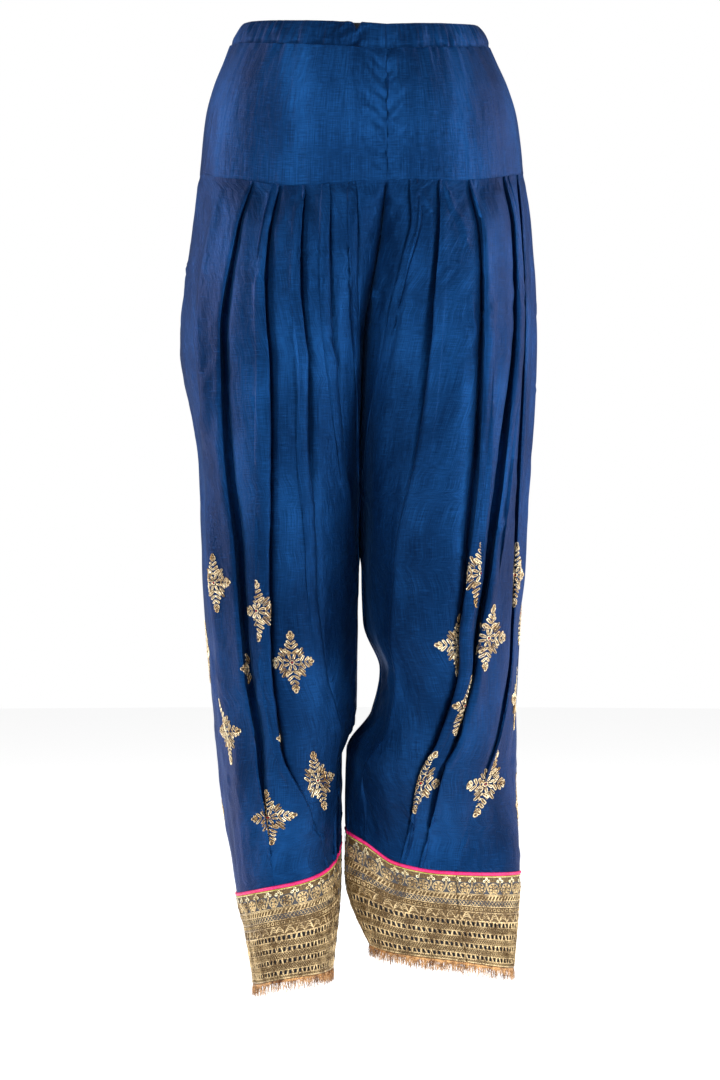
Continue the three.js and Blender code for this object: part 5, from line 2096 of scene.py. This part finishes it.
@dataclass
class Studio:
    """Camera, lights and pale floor."""

    distance: float = 3.3
    eye_level: float = -0.504
    lens: float = 110.0
    floor_level: float = -1.0
    floor_colour: tuple = rgb(244, 244, 244)
    floor_glow: float = 0.68
    room_light: float = 0.27

    def camera(self) -> None:
        """Place the camera level with the middle of the garment."""
        data = bpy.data.cameras.new("camera")
        data.lens = self.lens
        data.sensor_width = 36.0
        obj = bpy.data.objects.new("camera", data)
        obj.location = (0.0, -self.distance, self.eye_level)
        obj.rotation_euler = (math.pi / 2, 0.0, 0.0)
        bpy.context.scene.collection.objects.link(obj)
        bpy.context.scene.camera = obj

    def light(self, name: str, place: tuple, aim: tuple, size: tuple, power: float) -> None:
        """Add one soft area light.

        Args:
            name: Name of the light.
            place: Where it stands, in metres.
            aim: The point that it faces.
            size: Width and height.
            power: Power in watts.
        """
        data = bpy.data.lights.new(name, "AREA")
        data.shape = "RECTANGLE"
        data.size, data.size_y = size
        data.energy = power
        obj = bpy.data.objects.new(name, data)
        obj.location = place
        way = np.array(aim) - np.array(place)
        flat = math.hypot(way[0], way[1])
        obj.rotation_euler = (math.atan2(flat, -way[2]), 0.0, math.atan2(-way[0], way[1]))
        bpy.context.scene.collection.objects.link(obj)

    def floor(self) -> None:
        """Add a wide pale floor."""
        sides = 72
        radii = np.array([0.01, 2.4, 5.0, 6.5])[:, None]
        angle = np.linspace(0, 2 * math.pi, sides, endpoint=False)
        grid = np.stack(np.broadcast_arrays(
            radii * np.cos(angle), radii * np.sin(angle), self.floor_level), axis=2) / MM
        faces = MeshMaker.grid_faces(len(radii), sides, True)
        obj = MeshMaker.build("floor", grid.reshape(-1, 3), faces)
        sh = Shader("pale_floor")
        place = sh.add("TexCoord").outputs["Object"]
        tone = sh.noise(place, 3.0)
        colour = sh.mix(sh.math("MULTIPLY", tone, 0.2), self.floor_colour, rgb(238, 238, 240))
        sh.set(Base_Color=colour)
        sh.surface.inputs["Roughness"].default_value = 0.9
        sh.surface.inputs["Emission Color"].default_value = (1.0, 1.0, 1.0, 1.0)
        sh.surface.inputs["Emission Strength"].default_value = self.floor_glow
        obj.data.materials.append(sh.material)

    def room(self) -> None:
        """White room that is seen at full brightness and lights the cloth dimly."""
        world = bpy.data.worlds.new("studio")
        world.use_nodes = True
        tree = world.node_tree
        back = tree.nodes["Background"]
        back.inputs[0].default_value = (1.0, 1.0, 1.0, 1.0)
        seen = tree.nodes.new("ShaderNodeLightPath")
        strength = tree.nodes.new("ShaderNodeMapRange")
        strength.inputs["To Min"].default_value = self.room_light
        strength.inputs["To Max"].default_value = 1.0
        tree.links.new(seen.outputs["Is Camera Ray"], strength.inputs["Value"])
        tree.links.new(strength.outputs[0], back.inputs[1])
        bpy.context.scene.world = world

    def build(self) -> None:
        """Set up the whole studio."""
        self.camera()
        self.floor()
        aim = (0.0, 0.0, -0.45)
        self.light("key", (-1.3, -2.4, 0.8), aim, (0.7, 1.2), 48.0)
        self.light("fill", (2.1, -1.6, 0.0), aim, (0.7, 1.4), 45.0)
        self.light("back_left", (-2.4, 0.7, 0.4), aim, (0.8, 1.8), 34.0)
        self.light("back_right", (2.4, 0.7, 0.3), aim, (0.8, 1.8), 34.0)
        self.room()
        bpy.context.scene.view_settings.view_transform = "Standard"


BACK_MOTIFS = (Motif(0.785, -600), Motif(0.64, -690), Motif(0.77, -740))
RIGHT_MOTIFS = (
    Motif(0.357, -544, 50, 58), Motif(0.289, -572, 54, 60, -1, 0.75),
    Motif(0.245, -623, 47, 61, -0.8, 1), Motif(0.317, -628, 46, 60, -1, -0.35),
    Motif(0.378, -688, 56, 66), Motif(0.263, -697, 46, 50, -1, -0.05),
    Motif(0.281, -775, 60, 55), Motif(0.174, -746, 56, 60, -0.5, 1),
    Motif(0.5, -612), Motif(0.52, -765),
    Motif(0.635, -548), *BACK_MOTIFS,
)
LEFT_MOTIFS = (
    Motif(0.306, -538, 56, 66, -1, 0.6), Motif(0.402, -540),
    Motif(0.287, -609, 54, 62, -1, 0.2), Motif(0.332, -602, 68, 66, -0.4, 1),
    Motif(0.294, -669, 56, 60, -1, 0.2), Motif(0.462, -664),
    Motif(0.236, -750, 54, 64, -0.5, 1), Motif(0.364, -750, 66, 68),
    Motif(0.53, -580), Motif(0.52, -775),
    Motif(0.65, -545), *BACK_MOTIFS,
)


def main() -> None:
    """Build the dressed model, piece by piece."""
    logging.basicConfig(level=logging.INFO, format="%(message)s")
    Studio().build()
    silk = SilkFinish().make()
    satin = ThreadFinish("magenta_satin", rgb(205, 20, 92), rgb(240, 44, 124), 0.0, 0.4).make()
    lime = ThreadFinish("lime_thread", rgb(150, 160, 40), rgb(190, 200, 80)).make()
    ground = LaceGroundFinish().make()
    # Dark net of the lace slit pits: a net colour darkened as painted shade.
    net = ThreadFinish("slate_net_painted_shade", rgb(14, 17, 24), rgb(44, 50, 62), 0.0, 0.8).make()
    thread = ThreadFinish("gold_lace_thread", rgb(104, 76, 40), rgb(240, 212, 160), 0.4, 0.42).make()
    sequin = ThreadFinish("pale_sequin", rgb(190, 165, 110), rgb(250, 238, 200), 0.6, 0.25).make()
    copper = ThreadFinish("copper_thread", rgb(84, 40, 18), rgb(232, 178, 116), 0.45, 0.4, 1800.0).make()
    wire = ThreadFinish("gold_wire", rgb(158, 118, 62), rgb(255, 240, 202), 0.55, 0.3).make()
    pad = ThreadFinish("brown_gold_pad", rgb(40, 26, 14), rgb(112, 78, 40), 0.3, 0.5).make()
    bead = ThreadFinish("red_bead", rgb(120, 14, 16), rgb(176, 30, 26), 0.0, 0.2).make()
    # Near-black painted shade inside the casing's front slit.
    shade = ThreadFinish("slit_shade", rgb(2, 5, 12), rgb(6, 12, 26), 0.0, 0.8).make()
    waist = Waist()
    for plan, motifs in ((RIGHT_PLAN, RIGHT_MOTIFS), (LEFT_PLAN, LEFT_MOTIFS)):
        surface = LegSurface(LegForm(plan))
        LegPanels(surface, silk).build()
        LOG.info("leg %s: %d columns", plan.side.label, surface.points.shape[1])
        Yoke(surface, waist, silk).build()
        LOG.info("yoke %s", plan.side.label)
        hem = HemForm(surface)
        cords = Piping(hem, plan.side, satin, lime).build()
        fringe = Fringe(hem, plan.side, copper).build()
        LaceBand(hem, plan.side, ground, net, thread, sequin, LACE_CUT).build((*cords, fringe))
        LOG.info("hem %s: %.0f mm round", plan.side.label, hem.length)
        stars = Embroidery(surface, motifs, wire, pad, bead).build()
        LOG.info("embroidery %s: %d stars", plan.side.label, len(stars))
    Casing(waist, silk, shade).build()
    LOG.info("casing")
    made = [obj for obj in bpy.context.scene.objects if obj.type == "MESH" and obj.data.materials]
    count = sum(len(face.vertices) - 2 for obj in made for face in obj.data.polygons)
    LOG.info("%d meshes with %d triangles", len(made), count)


if __name__ == "__main__":
    main()
